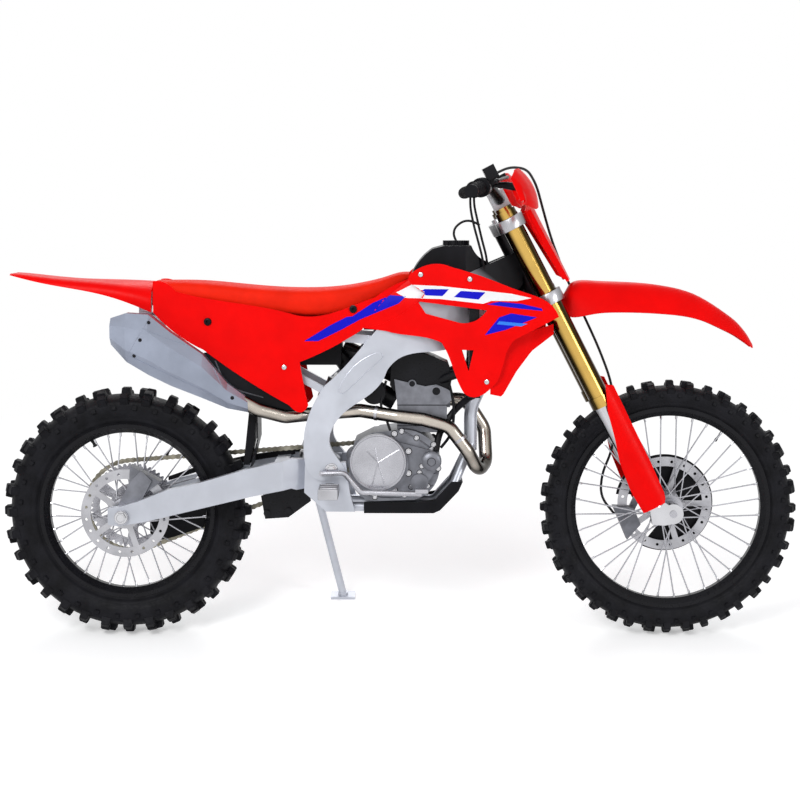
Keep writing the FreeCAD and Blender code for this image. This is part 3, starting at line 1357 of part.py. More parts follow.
def swingarm():
    """Two tapered arms on a pivot tube, tied by a beam, with blocks at the axle."""
    half = SPAR_PIVOT_Y - SPAR_WALL - TOUCH
    tail = REAR_AXLE_X - ARM_TAIL
    outer = [(PIVOT_X + ARM_PIVOT_RADIUS, half), (PIVOT_PLATE_REAR_X, half),
             (ARM_WIDE_X, ARM_AXLE_Y), (tail, ARM_AXLE_Y)]
    inner = [(x, y - ARM_WALL) for x, y in reversed(outer)]
    prism = plan_prism(outer + inner, 0, 2 * PIVOT_Z)
    arm = plate(swingarm_points(ARM_SHARES), 0, 2 * ARM_AXLE_Y).common(prism)
    beam = plate(swingarm_points(BEAM_SHARES), -ARM_AXLE_Y + ARM_WALL, ARM_AXLE_Y - ARM_WALL)
    pivot = disc(ARM_PIVOT_RADIUS, -half, half, PIVOT_X, PIVOT_Z)
    bolt = disc(PIVOT_BOLT_RADIUS, -SPAR_PIVOT_Y - FLANGE_WALL, SPAR_PIVOT_Y + FLANGE_WALL,
                PIVOT_X, PIVOT_Z)
    foot = box(LINK_FOOT_X, LINK_FOOT_X + LINK_FOOT_LENGTH, -LINK_INNER_Y, LINK_INNER_Y,
               LINK_LOW_Z + LINK_HEIGHT / 2, PIVOT_Z)
    body = arm.cut(chain_room()).fuse(mirrored(arm)).multiFuse([beam, foot, pivot, bolt])
    hole = disc(REAR_AXLE_RADIUS, -2 * ARM_AXLE_Y, 2 * ARM_AXLE_Y, REAR_AXLE_X, REAR_TYRE_RADIUS)
    return body.cut(hole)


def rear_axle():
    """The rear axle with its nuts and the spacers beside the hub."""
    inner = ARM_AXLE_Y - ARM_WALL
    body = disc(REAR_AXLE_RADIUS, -ARM_AXLE_Y - AXLE_NUT_WIDTH, ARM_AXLE_Y + AXLE_NUT_WIDTH)
    left = CHAIN_Y + SPROCKET_WALL / 2 + TOUCH
    right = -REAR_DISC_Y - DISC_WALL / 2 - TOUCH
    for low, high in ((-inner, right), (left, inner)):
        body = body.fuse(disc(SPACER_RADIUS, low + TOUCH, high - TOUCH))
    for sign in (-1, 1):
        start, end = sorted((sign * ARM_AXLE_Y, sign * (ARM_AXLE_Y + AXLE_NUT_WIDTH)))
        body = body.fuse(disc(AXLE_NUT_RADIUS, start, end))
    return at_axle(body, REAR_AXLE_X, REAR_TYRE_RADIUS)


def rear_caliper():
    """The rear caliper on a bracket that hangs on the axle inside the right arm."""
    body = caliper(REAR_DISC_RADIUS, -REAR_DISC_Y, REAR_CALIPER_TURN)
    outer = -ARM_AXLE_Y + ARM_WALL + TOUCH
    x, z = polar(REAR_DISC_RADIUS - CALIPER_DEPTH / 3, REAR_CALIPER_TURN)
    reach = SPACER_RADIUS + 3 * FLANGE_WALL
    points = [(-reach, 0), (0, -reach), (reach, 0), (x + reach, z), (x, z + reach), (x - reach, z)]
    face = -REAR_DISC_Y - CALIPER_WIDTH / 2
    bracket = plate(points, outer, face + OVERRUN)
    hole = disc(REAR_AXLE_RADIUS + TOUCH, -2 * ARM_AXLE_Y, 0)
    spacer = disc(SPACER_RADIUS + TOUCH, -2 * ARM_AXLE_Y, 0)
    return at_axle(body.fuse(bracket).cut(hole).cut(spacer), REAR_AXLE_X, REAR_TYRE_RADIUS)


def turned(start, end, steps):
    """A stepped round bar between two points, from pairs of a share of its length and a radius."""
    along = end - start
    profile = [(0, 0)]
    for (low, radius), (high, nothing) in zip(steps, steps[1:]):
        profile += [(radius, low * along.Length), (radius, high * along.Length)]
    profile.append((0, along.Length))
    face = Part.Face(polygon([vec(r, 0, h) for r, h in profile]))
    body = face.revolve(ORIGIN, vec(0, 0, 1), 360)
    body.Placement = FreeCAD.Placement(start, FreeCAD.Rotation(vec(0, 0, 1), along))
    return body


def rear_shock():
    """A damper in a coil spring, between the spars and the linkage."""
    top = vec(SHOCK_TOP_X, 0, SHOCK_TOP_Z)
    low = vec(SHOCK_LOW_X, 0, SHOCK_LOW_Z)
    steps = [(0, SHOCK_BODY_RADIUS)]
    turn = (SPRING_END_SHARE - SPRING_START_SHARE) / SPRING_TURNS
    for i in range(SPRING_TURNS):
        start = SPRING_START_SHARE + i * turn
        steps += [(start, SPRING_RADIUS), (start + turn / 2, SHOCK_BODY_RADIUS)]
    steps += [(SPRING_END_SHARE, SPRING_RADIUS + SPRING_WIRE),
              (SPRING_END_SHARE + turn / 2, SHOCK_ROD_RADIUS), (1, SHOCK_ROD_RADIUS)]
    pin = disc(PIVOT_BOLT_RADIUS, -SHOCK_PIN_HALF, SHOCK_PIN_HALF, SHOCK_TOP_X, SHOCK_TOP_Z)
    eye = disc(SHOCK_ROD_RADIUS, -LINK_INNER_Y, LINK_INNER_Y, SHOCK_LOW_X, SHOCK_LOW_Z)
    return turned(top, low, steps).fuse(pin).fuse(eye)


SPRING_START_SHARE = 0.14
SPRING_END_SHARE = 0.76
SHOCK_ROD_RADIUS = 14.0
SHOCK_PIN_HALF = 93.0
LINK_SHARES = ((0.0, 0.70), (0.08, 0.0), (0.55, 0.05), (1.0, 0.55), (0.95, 0.95), (0.5, 1.0))
LINK_REAR_X = -372.0
LINK_LENGTH = 136.0
LINK_LOW_Z = 318.0
LINK_HEIGHT = 90.0
LINK_INNER_Y = 24.0
LINK_WALL = 8.0
LINK_FOOT_X = -336.0
LINK_FOOT_LENGTH = 22.0


def shock_linkage():
    """Two rocker plates under the arm, joined by their bolts."""
    points = side_points(LINK_SHARES, LINK_REAR_X, LINK_LOW_Z, LINK_LENGTH, LINK_HEIGHT)
    body = both_sides(plate(points, LINK_INNER_Y, LINK_INNER_Y + LINK_WALL))
    for a, b in ((0.12, 0.18), (0.55, 0.25)):
        x = LINK_REAR_X + a * LINK_LENGTH
        z = LINK_LOW_Z + b * LINK_HEIGHT
        body = body.fuse(disc(PIVOT_BOLT_RADIUS, -LINK_INNER_Y - 2 * LINK_WALL,
                              LINK_INNER_Y + 2 * LINK_WALL, x, z))
    return body.removeSplitter()


CASE_SHARES = [[(0.02, 0.30), (0.0, 0.55), (0.05, 0.80)], [(0.25, 0.92)], [(0.56, 0.96)],
               [(0.80, 0.90), (0.97, 0.70), (1.0, 0.50)], [(0.93, 0.20), (0.72, 0.02)],
               [(0.25, 0.0)], [(0.12, 0.06), (0.04, 0.18)]]


def engine_cases():
    """The crankcase as one closed casting, with the left cover's round boss."""
    body = curved_plate(CASE_SHARES, CASE_X, CASE_Z, CASE_LENGTH, CASE_HEIGHT, -CASE_HALF_WIDTH,
                        CHAIN_Y - CHAIN_WIDTH)
    front = box(COUNTER_X + COUNTER_PITCH_RADIUS * 2, CASE_X + CASE_LENGTH, 0, CASE_HALF_WIDTH,
                CASE_Z, CASE_Z + CASE_HEIGHT)
    shape = curved_plate(CASE_SHARES, CASE_X, CASE_Z, CASE_LENGTH, CASE_HEIGHT, 0, CASE_HALF_WIDTH)
    body = body.fuse(shape.common(front))
    boss = disc(MAGNETO_RADIUS, 0, CASE_HALF_WIDTH + COVER_WALL, MAGNETO_X, MAGNETO_Z)
    return body.fuse(boss).removeSplitter()


def clutch_cover():
    """The right engine cover with its round clutch lid, water pump and filter lid."""
    face = -CASE_HALF_WIDTH
    mid = face - COVER_WALL / 2
    out = face - COVER_WALL
    body = disc(COVER_RADIUS, out, face, COVER_X, COVER_Z)
    body = body.fuse(disc(COVER_RADIUS - COVER_RIM, out - FLANGE_WALL, out, COVER_X, COVER_Z))
    body = body.fuse(disc(PUMP_RADIUS, out - FLANGE_WALL, face, PUMP_X, PUMP_Z))
    body = body.fuse(disc(FILTER_RADIUS, out, face, FILTER_X, FILTER_Z))
    skirt = plate([(COVER_X, COVER_Z + COVER_RADIUS * 0.9), (PUMP_X, PUMP_Z + PUMP_RADIUS),
                   (PUMP_X + PUMP_RADIUS, PUMP_Z), (FILTER_X + FILTER_RADIUS, FILTER_Z),
                   (FILTER_X, FILTER_Z - FILTER_RADIUS), (COVER_X, COVER_Z - COVER_RADIUS * 0.9)],
                  mid, face)
    return body.fuse(skirt).removeSplitter()


def engine_cylinder():
    """The cylinder and the bare head above the crankcase, with the exhaust port's boss."""
    body = box(CYLINDER_X, CYLINDER_X + CYLINDER_LENGTH, -CYLINDER_HALF_WIDTH,
               CYLINDER_HALF_WIDTH, CYLINDER_LOW_Z, CYLINDER_HIGH_Z)
    body = body.cut(engine_cases())
    stub = rod(vec(CYLINDER_X + CYLINDER_LENGTH / 2, PORT_Y, PORT_Z),
               vec(CYLINDER_X + CYLINDER_LENGTH + PORT_BOSS, PORT_Y, PORT_Z),
               PIPE_RADIUS + FLANGE_WALL)
    return body.fuse(stub)


PORT_Y = 37.4
PORT_Z = 640.0
PORT_BOSS = 10.0
HEAD_COVER_SHARES = [[(0.0, 0.15)], [(0.02, 0.72)], [(0.16, 0.97)], [(0.40, 1.0), (0.72, 0.88)],
                     [(0.93, 0.72)], [(1.0, 0.40)], [(0.96, 0.0)], [(0.06, 0.0)]]


def head_cover():
    """The black cover over the cams, with the intake stub behind it."""
    body = curved_plate(HEAD_COVER_SHARES, HEAD_COVER_X, CYLINDER_HIGH_Z, HEAD_COVER_LENGTH,
                        HEAD_COVER_HEIGHT, -HEAD_COVER_HALF_WIDTH, HEAD_COVER_HALF_WIDTH)
    stub = rod(vec(0, 0, INTAKE_Z), vec(AIRBOX_REAR_X + AIRBOX_LENGTH, 0, INTAKE_REAR_Z),
               INTAKE_RADIUS)
    return body.fuse(stub).cut(airbox())


INTAKE_RADIUS = 27.0
INTAKE_Z = 712.0
INTAKE_REAR_Z = 782.0


def exhaust_pipe():
    """The header: down from the port, under itself at the front, and back along the right."""
    port_x = CYLINDER_X + CYLINDER_LENGTH + PORT_BOSS
    points = [vec(port_x, PORT_Y, PORT_Z), vec(port_x + 2.3 * PIPE_RADIUS, PORT_Y, PORT_Z),
              vec(238, 44, 560), vec(242, 6, 472), vec(219, -52, 452), vec(190, -82, 512),
              vec(140, PIPE_SIDE_Y, 578), vec(70, PIPE_SIDE_Y, 598), vec(0, PIPE_SIDE_Y, 606),
              vec(-100, -67, 620), vec(-225, -66, 611), vec(-300, -94, 606),
              vec(-372, -120, 628), vec(-412, -122, 650)]
    return tube(points, PIPE_RADIUS, PIPE_BEND)


SILENCER_STATIONS_SHARES = ((0.0, 0.86, 0.0, 0.14, 0.30, 0.70), (0.15, 0.95, 0.04, 0.295, 0.18, 0.80),
                            (0.33, 0.0, 0.144, 0.585, 0.06, 0.90), (0.565, 0.0, 0.273, 0.81, 0.02, 0.98),
                            (0.723, 0.0, 0.379, 0.985, 0.0, 1.0), (0.886, 0.0, 0.511, 1.0, 0.04, 0.98),
                            (1.0, 0.0, 0.686, 0.95, 0.14, 0.90))
SILENCER_BEVEL_SHARE = 0.27


def silencer():
    """An eight-sided silencer that swells towards its tail."""
    wires = []
    for along, spare, low, high, near, far in SILENCER_STATIONS_SHARES:
        x = SILENCER_FRONT_X - along * SILENCER_LENGTH
        a = SILENCER_LOW_Z + low * SILENCER_HEIGHT
        b = SILENCER_LOW_Z + high * SILENCER_HEIGHT
        c = -SILENCER_INNER_Y - near * SILENCER_WIDTH
        d = -SILENCER_INNER_Y - far * SILENCER_WIDTH
        up = (b - a) * SILENCER_BEVEL_SHARE
        out = (c - d) * SILENCER_BEVEL_SHARE
        wires.append(polygon([vec(x, c - out, a), vec(x, c, a + up), vec(x, c, b - up),
                              vec(x, c - out, b), vec(x, d + out, b), vec(x, d, b - up),
                              vec(x, d, a + up), vec(x, d + out, a)]))
    return Part.makeLoft(wires, True, True).cut(exhaust_pipe())


def radiator():
    """A finned core between two side tanks."""
    low_x = RADIATOR_X - RADIATOR_DEPTH / 2
    high_x = RADIATOR_X + RADIATOR_DEPTH / 2
    out = RADIATOR_INNER_Y + RADIATOR_WIDTH
    high_z = RADIATOR_LOW_Z + RADIATOR_HEIGHT
    core = box(low_x + FLANGE_WALL, high_x - FLANGE_WALL, RADIATOR_INNER_Y, out,
               RADIATOR_LOW_Z + RADIATOR_TANK, high_z - RADIATOR_TANK)
    tanks = [box(low_x, high_x, RADIATOR_INNER_Y, out, RADIATOR_LOW_Z,
                 RADIATOR_LOW_Z + RADIATOR_TANK),
             box(low_x, high_x, RADIATOR_INNER_Y, out, high_z - RADIATOR_TANK, high_z)]
    lug = box(RADIATOR_X - RADIATOR_LUG, RADIATOR_X + RADIATOR_LUG, RADIATOR_INNER_Y - 2 * RADIATOR_LUG,
              RADIATOR_INNER_Y, high_z - 2 * RADIATOR_TANK, high_z - RADIATOR_TANK)
    return core.multiFuse(tanks + [lug])


def radiators():
    return pair(radiator())


SHROUD_SHARES = [[(0.0, 0.512)], [(0.18, 0.60), (0.32, 0.78)], [(0.245, 0.925), (0.256, 0.937)],
                 [(0.30, 0.975), (0.36, 1.0), (0.45, 0.98)],
                 [(0.61, 0.91), (0.81, 0.80), (0.96, 0.70), (1.0, 0.61)],
                 [(0.86, 0.50), (0.78, 0.44)], [(0.73, 0.31), (0.68, 0.10), (0.657, 0.066)],
                 [(0.54, 0.006), (0.52, 0.026)], [(0.477, 0.16), (0.44, 0.31), (0.405, 0.405)],
                 [(0.35, 0.434), (0.19, 0.466), (0.12, 0.489)]]
SHROUD_VENT_SHARES = [[(0.283, 0.716)], [(0.636, 0.655)], [(0.555, 0.563), (0.50, 0.557)],
                      [(0.324, 0.624)]]
SHROUD_SLOT_SHARES = [[(0.509, 0.353)], [(0.569, 0.353)], [(0.544, 0.193)]]


def shroud_left():
    """A flared radiator shroud with its two openings."""
    plan = [(SHROUD_REAR_X, SHROUD_REAR_Y), (SHROUD_REAR_X + 0.45 * SHROUD_LENGTH, SHROUD_MIDDLE_Y),
            (SHROUD_REAR_X + 0.75 * SHROUD_LENGTH, SHROUD_WIDE_Y),
            (SHROUD_REAR_X + 1.0 * SHROUD_LENGTH, SHROUD_TIP_Y)]
    skin = sheet(plan, plan, PANEL_WALL, SHROUD_LOW_Z - PANEL_WALL,
                 SHROUD_LOW_Z + SHROUD_HEIGHT + PANEL_WALL)
    def area(runs):
        return curved_plate(runs, SHROUD_REAR_X, SHROUD_LOW_Z, SHROUD_LENGTH, SHROUD_HEIGHT, 0,
                            2 * SHROUD_TIP_Y)
    return skin.common(area(SHROUD_SHARES)).cut(area(SHROUD_VENT_SHARES)).cut(area(SHROUD_SLOT_SHARES))


def shroud_right():
    return mirrored(shroud_left())


SIDE_PANEL_SHARES = [[(0.0, 0.746)], [(0.07, 0.62), (0.197, 0.475)], [(0.37, 0.25), (0.53, 0.074)],
                     [(0.58, 0.025), (0.604, 0.074)], [(0.577, 0.33), (0.572, 0.39)],
                     [(0.70, 0.50), (0.814, 0.628)], [(0.87, 0.78), (1.0, 1.0)],
                     [(0.93, 0.942), (0.863, 0.86)], [(0.75, 0.78), (0.66, 0.73), (0.55, 0.735)],
                     [(0.45, 0.78), (0.18, 0.86), (0.09, 0.90)], [(0.02, 0.975), (0.0, 0.972)]]


def side_panel_left():
    """The panel under the seat's edge."""
    plan = [(SIDE_PANEL_REAR_X, SIDE_PANEL_REAR_Y),
            (SIDE_PANEL_REAR_X + 0.4 * SIDE_PANEL_LENGTH, SIDE_PANEL_MIDDLE_Y),
            (SIDE_PANEL_REAR_X + 0.75 * SIDE_PANEL_LENGTH, SIDE_PANEL_FRONT_Y),
            (SIDE_PANEL_REAR_X + 1.0 * SIDE_PANEL_LENGTH, SIDE_PANEL_FRONT_Y)]
    skin = sheet(plan, plan, PANEL_WALL, SIDE_PANEL_LOW_Z - PANEL_WALL,
                 SIDE_PANEL_LOW_Z + SIDE_PANEL_HEIGHT + PANEL_WALL)
    area = curved_plate(SIDE_PANEL_SHARES, SIDE_PANEL_REAR_X, SIDE_PANEL_LOW_Z, SIDE_PANEL_LENGTH,
                        SIDE_PANEL_HEIGHT, 0, 2 * SIDE_PANEL_FRONT_Y)
    return skin.common(area)


def side_panel_right():
    return mirrored(side_panel_left())


HEAT_GUARD_SHARES = ((0.0, 0.98), (0.08, 1.0), (0.91, 0.06), (1.0, 0.0), (0.55, 0.06), (0.35, 0.27),
                     (0.16, 0.48), (0.07, 0.71))


def heat_guard():
    """The black shield between the right side panel and the exhaust."""
    points = side_points(HEAT_GUARD_SHARES, HEAT_GUARD_REAR_X, HEAT_GUARD_LOW_Z,
                         HEAT_GUARD_LENGTH, HEAT_GUARD_HEIGHT)
    return plate(points, -HEAT_GUARD_Y, -HEAT_GUARD_Y + PANEL_WALL).cut(exhaust_pipe())


REAR_FENDER_STATIONS_SHARES = ((0.0, 1.0, 0.96, 0.66), (0.10, 0.975, 0.86, 0.76),
                               (0.30, 0.90, 0.70, 0.90), (0.55, 0.85, 0.52, 0.98),
                               (0.80, 0.82, 0.20, 1.0), (0.89, 0.80, 0.05, 0.98))


def rear_fender():
    """A long tail over the rear wheel, on a block at the end of the subframe."""
    wires = []
    for along, top, low, half in REAR_FENDER_STATIONS_SHARES:
        wires.append(arch_wire(REAR_FENDER_REAR_X + along * REAR_FENDER_LENGTH,
                               REAR_FENDER_LOW_Z + top * REAR_FENDER_HEIGHT,
                               REAR_FENDER_LOW_Z + low * REAR_FENDER_HEIGHT,
                               half * REAR_FENDER_HALF_WIDTH, FENDER_WALL))
    pad = box(RAIL_REAR_X, RAIL_REAR_X + 2 * RAIL_WIDTH, -RAIL_WIDTH, RAIL_WIDTH,
              RAIL_REAR_Z + POST_HEIGHT, RAIL_REAR_Z + POST_HEIGHT + POST_PAD)
    return Part.makeLoft(wires, True, False).fuse(pad)


def rear_subframe():
    """Two upper rails, two lower struts and the cross pieces that carry the tail."""
    front = vec(RAIL_FRONT_X, RAIL_Y, RAIL_FRONT_Z)
    rear = vec(RAIL_REAR_X, RAIL_Y - RAIL_WIDTH, RAIL_REAR_Z)
    body = bar(front, rear, RAIL_WIDTH, RAIL_HEIGHT)
    along = rear - front
    meet = front + along * ((STRUT_REAR_X - RAIL_FRONT_X) / along.x)
    body = body.fuse(bar(vec(STRUT_FRONT_X, RAIL_Y, STRUT_FRONT_Z), meet, RAIL_WIDTH,
                         RAIL_HEIGHT * 0.8))
    for x, z in ((RAIL_FRONT_X, RAIL_FRONT_Z), (STRUT_FRONT_X, STRUT_FRONT_Z)):
        body = body.fuse(disc(RAIL_HEIGHT / 2, RAIL_Y - RAIL_WIDTH / 2, LUG_FACE_Y, x, z))
    body = body.fuse(mirrored(body))
    for share in (0.72, 0.97):
        place = front + along * share
        half = RAIL_Y - RAIL_WIDTH
        cross = box(place.x - RAIL_WIDTH / 2, place.x + RAIL_WIDTH / 2, -half, half,
                    place.z - RAIL_HEIGHT / 4, place.z + RAIL_HEIGHT / 4)
        body = body.fuse(cross)
    post = box(RAIL_REAR_X, RAIL_REAR_X + 2 * RAIL_WIDTH, -RAIL_WIDTH, RAIL_WIDTH, RAIL_REAR_Z,
               RAIL_REAR_Z + POST_HEIGHT)
    return body.fuse(post)


LUG_FACE_Y = 97.0
POST_HEIGHT = 88.0
POST_PAD = 9.0


SEAT_STATIONS_SHARES = ((0.0, 0.60, 0.82, 0.62), (0.06, 0.52, 0.82, 0.86), (0.20, 0.38, 0.80, 0.98),
                        (0.45, 0.14, 0.68, 1.0), (0.62, 0.03, 0.655, 0.98), (0.75, 0.12, 0.71, 0.92),
                        (0.87, 0.42, 0.84, 0.84), (0.955, 0.72, 0.985, 0.76), (1.0, 0.88, 1.0, 0.66))


def seat_wire(x, low, high, half):
    """One section of the seat: flat below, sides leaning in, a low crown on top."""
    height = high - low
    edge = [vec(x, half, low), vec(x, half, low + 0.45 * height)]
    over = [vec(x, 0.93 * half, low + 0.85 * height), vec(x, 0.7 * half, high - 0.03 * height),
            vec(x, 0, high), vec(x, -0.7 * half, high - 0.03 * height),
            vec(x, -0.93 * half, low + 0.85 * height), vec(x, -half, low + 0.45 * height)]
    return Part.Wire([Part.makeLine(edge[0], edge[1]), curve([edge[1]] + over),
                      Part.makeLine(over[-1], vec(x, -half, low)),
                      Part.makeLine(vec(x, -half, low), edge[0])])


def seat():
    """The long flat seat, from the tank's cap to the tail."""
    wires = []
    for along, low, high, half in SEAT_STATIONS_SHARES:
        wires.append(seat_wire(SEAT_REAR_X + along * SEAT_LENGTH, SEAT_LOW_Z + low * SEAT_HEIGHT,
                               SEAT_LOW_Z + high * SEAT_HEIGHT, half * SEAT_HALF_WIDTH))
    return Part.makeLoft(wires, True, False)


TANK_SHARES = [[(0.0, 0.0)], [(0.0, 0.16)], [(0.10, 0.20), (0.30, 0.46)],
               [(0.375, 0.80), (0.475, 0.965)], [(0.55, 1.0)], [(0.74, 1.0)],
               [(0.79, 0.87), (0.86, 0.80)], [(0.95, 0.65), (1.0, 0.54)], [(0.97, 0.28)],
               [(0.82, 0.06)], [(0.5, 0.0)]]
TANK_PLAN_SHARES = ((0.0, 0.80), (0.25, 1.0), (0.70, 1.0), (0.86, 0.56), (1.0, 0.44))


def fuel_tank():
    """The tank between the spars, with a raised neck for its cap."""
    solid = curved_plate(TANK_SHARES, TANK_REAR_X, TANK_LOW_Z, TANK_LENGTH, TANK_HEIGHT,
                         -TANK_HALF_WIDTH, TANK_HALF_WIDTH)
    right = [(TANK_REAR_X + a * TANK_LENGTH, b * TANK_HALF_WIDTH) for a, b in TANK_PLAN_SHARES]
    outline = right + [(x, -y) for x, y in reversed(right)]
    prism = plan_prism(outline, TANK_LOW_Z - OVERRUN, TANK_LOW_Z + 2 * TANK_HEIGHT)
    plan = [(x, y + TANK_HALF_WIDTH) for x, y in spar_plan()]
    room = sheet(plan, plan, TANK_HALF_WIDTH + SPAR_WALL + SPAR_GAP, SPAR_LOW_Z,
                 2 * SPAR_LOW_Z + SPAR_HEIGHT)
    room = room.common(spar_outline())
    return solid.common(prism).cut(room).cut(mirrored(room))


def fuel_cap():
    """A round cap with grip notches."""
    base = TANK_LOW_Z + TANK_HEIGHT
    body = Part.makeCylinder(CAP_RADIUS, CAP_HEIGHT, vec(CAP_X, 0, base), vec(0, 0, 1))
    notches = []
    for i in range(12):
        x, y = polar(CAP_RADIUS, i * 30)
        notches.append(Part.makeCylinder(CAP_RADIUS * 0.12, CAP_HEIGHT, vec(CAP_X + x, y, base),
                                         vec(0, 0, 1)))
    return body.cut(Part.makeCompound(notches))


def airbox():
    """The box under the seat that the intake stub leads to."""
    return box(AIRBOX_REAR_X, AIRBOX_REAR_X + AIRBOX_LENGTH, -AIRBOX_HALF_WIDTH,
               AIRBOX_HALF_WIDTH, AIRBOX_LOW_Z, AIRBOX_LOW_Z + AIRBOX_HEIGHT)


def mud_flap():
    """The flap ahead of the rear wheel, under the airbox."""
    points = [(-372, AIRBOX_LOW_Z), (-380, 620), (-379, 540), (-399, 462)]
    return plate(strip(points, MUD_FLAP_WALL), -MUD_FLAP_HALF_WIDTH, MUD_FLAP_HALF_WIDTH)


SKID_SHARES = ((0.0, 0.0), (0.718, 0.0), (0.786, 0.093), (0.975, 0.70), (1.02, 1.0))


def skid_plate():
    """The bent guard under the cradle."""
    low_z = CRADLE_Z - CRADLE_RADIUS - SKID_WALL
    points = side_points(SKID_SHARES, SKID_REAR_X, low_z, SKID_LENGTH, SKID_HEIGHT)
    half = CRADLE_Y + CRADLE_RADIUS
    return plate(strip(points, SKID_WALL), -half, half)


def footpeg():
    """A peg: an open frame with a toothed rim, on a lug from the pivot casting."""
    half = PEG_DEPTH / 2
    outer = PEG_INNER_Y + PEG_LENGTH
    low = PEG_Z - PEG_HEIGHT / 2
    body = box(PEG_X - half, PEG_X + half, PEG_INNER_Y, outer, low, low + PEG_HEIGHT)
    count = 3
    room = (PEG_LENGTH - PEG_WALL) / count
    for i in range(count):
        start = PEG_INNER_Y + PEG_WALL + i * room
        hole = box(PEG_X - half + PEG_WALL, PEG_X + half - PEG_WALL, start, start + room - PEG_WALL,
                   low - OVERRUN, low + PEG_HEIGHT + OVERRUN)
        body = body.cut(hole)
    lug = box(PEG_X - PEG_LUG / 2, PEG_X + PEG_LUG / 2, SPAR_PIVOT_Y, PEG_INNER_Y, low,
              low + PEG_HEIGHT)
    return body.fuse(lug)


def footpegs():
    return pair(footpeg())


def brake_pedal():
    """The right pedal: a cranked arm from its pivot to a pad ahead of the engine cover."""
    points = [vec(-200, -PEDAL_Y, 460), vec(-140, -PEDAL_Y, 462), vec(-96, -PEDAL_Y, 410),
              vec(66, -PEDAL_Y, 406)]
    arm = tube(points, PEDAL_RADIUS, 3 * PEDAL_RADIUS)
    pin = disc(PEDAL_RADIUS, -PEDAL_Y, -SPAR_PIVOT_Y, -200, 460)
    pad = box(66 - PEDAL_PAD / 2, 66 + PEDAL_PAD / 2, -PEDAL_Y - PEDAL_PAD_WIDTH / 2,
              -PEDAL_Y + PEDAL_PAD_WIDTH / 2, 406 + PEDAL_RADIUS / 2, 406 + 2 * PEDAL_RADIUS)
    return arm.fuse(pin).fuse(pad)


def shift_lever():
    """The left lever, from its shaft to a folding toe peg."""
    points = [vec(-58, SHIFT_Y, 404), vec(0, SHIFT_Y, 400), vec(74, SHIFT_Y, 420)]
    arm = tube(points, SHIFT_RADIUS, 6 * SHIFT_RADIUS)
    shaft = disc(SHIFT_RADIUS, CASE_HALF_WIDTH, SHIFT_Y, -58, 404)
    toe = disc(SHIFT_RADIUS * 1.4, SHIFT_Y, SHIFT_Y + SHIFT_PEG, 74, 420)
    return arm.fuse(shaft).fuse(toe)


def side_stand(ground):
    """The stand's boss, leg and foot, lowered. The foot lies flat on the ground."""
    start = vec(STAND_X, STAND_Y, STAND_Z)
    down = vec(*STAND_DOWN_SHARES).normalize()
    lean_up = vec(0, -LEAN_SLOPE, 1).normalize()
    base = vec(0, 0, ground + STAND_FOOT_WALL)
    reach = (base - start).dot(lean_up) / down.dot(lean_up)
    end = start + down * reach
    boss = rod(stand_point(-STAND_BOSS_HALF), stand_point(STAND_BOSS_HALF), STAND_BOSS_RADIUS)
    leg = rod(start, end, STAND_RADIUS)
    foot = Part.makeBox(STAND_FOOT_LENGTH, STAND_FOOT_WIDTH, STAND_FOOT_WALL,
                        vec(-STAND_FOOT_LENGTH / 2, -STAND_FOOT_WIDTH / 2, -STAND_FOOT_WALL))
    foot = foot.fuse(Part.makeCylinder(STAND_RADIUS * 1.3, STAND_FOOT_WALL, ORIGIN, vec(0, 0, 1)))
    foot.rotate(ORIGIN, vec(1, 0, 0), LEAN)
    foot.translate(end)
    floor = foot.BoundBox
    body = boss.fuse(leg).fuse(foot)
    low = vec(0, 0, ground)
    under = Part.makeBox(STAND_FOOT_LENGTH * 4, STAND_FOOT_LENGTH * 8, STAND_FOOT_LENGTH,
                         vec(-STAND_FOOT_LENGTH * 2, -STAND_FOOT_LENGTH * 4, -STAND_FOOT_LENGTH))
    under.rotate(ORIGIN, vec(1, 0, 0), LEAN)
    under.translate(low + vec(floor.Center.x, 0, 0))
    return body.cut(under)


HOSE_RADIUS = 3.5


def front_brake_hose():
    """The hose from the master cylinder, across ahead of the plate, down to the front caliper."""
    points = [vec(u, y, w) for u, y, w in HOSE_POINTS]
    return steered(cord(points, HOSE_RADIUS))


HOSE_POINTS = ((36.0, -208.0, 1024.0), (84.0, -150.0, 1022.0), (126.0, -84.0, 996.0),
               (134.0, -6.0, 946.0), (124.0, 58.0, 880.0), (108.0, 86.0, 790.0),
               (98.0, 88.0, 690.0), (94.0, 86.0, 573.0), (90.0, 74.0, 470.0), (78.0, 68.0, 366.0),
               (44.0, 68.0, 270.0), (-6.0, 72.0, 196.0), (-60.0, 76.0, 150.0),
               (-92.0, 73.0, 96.0), (-80.0, 68.0, 36.0))


def lean_over(shape):
    """Lean a shape of the upright bike to its left about the line of the wheels."""
    moved = shape.copy()
    moved.rotate(ORIGIN, vec(1, 0, 0), -LEAN)
    return moved


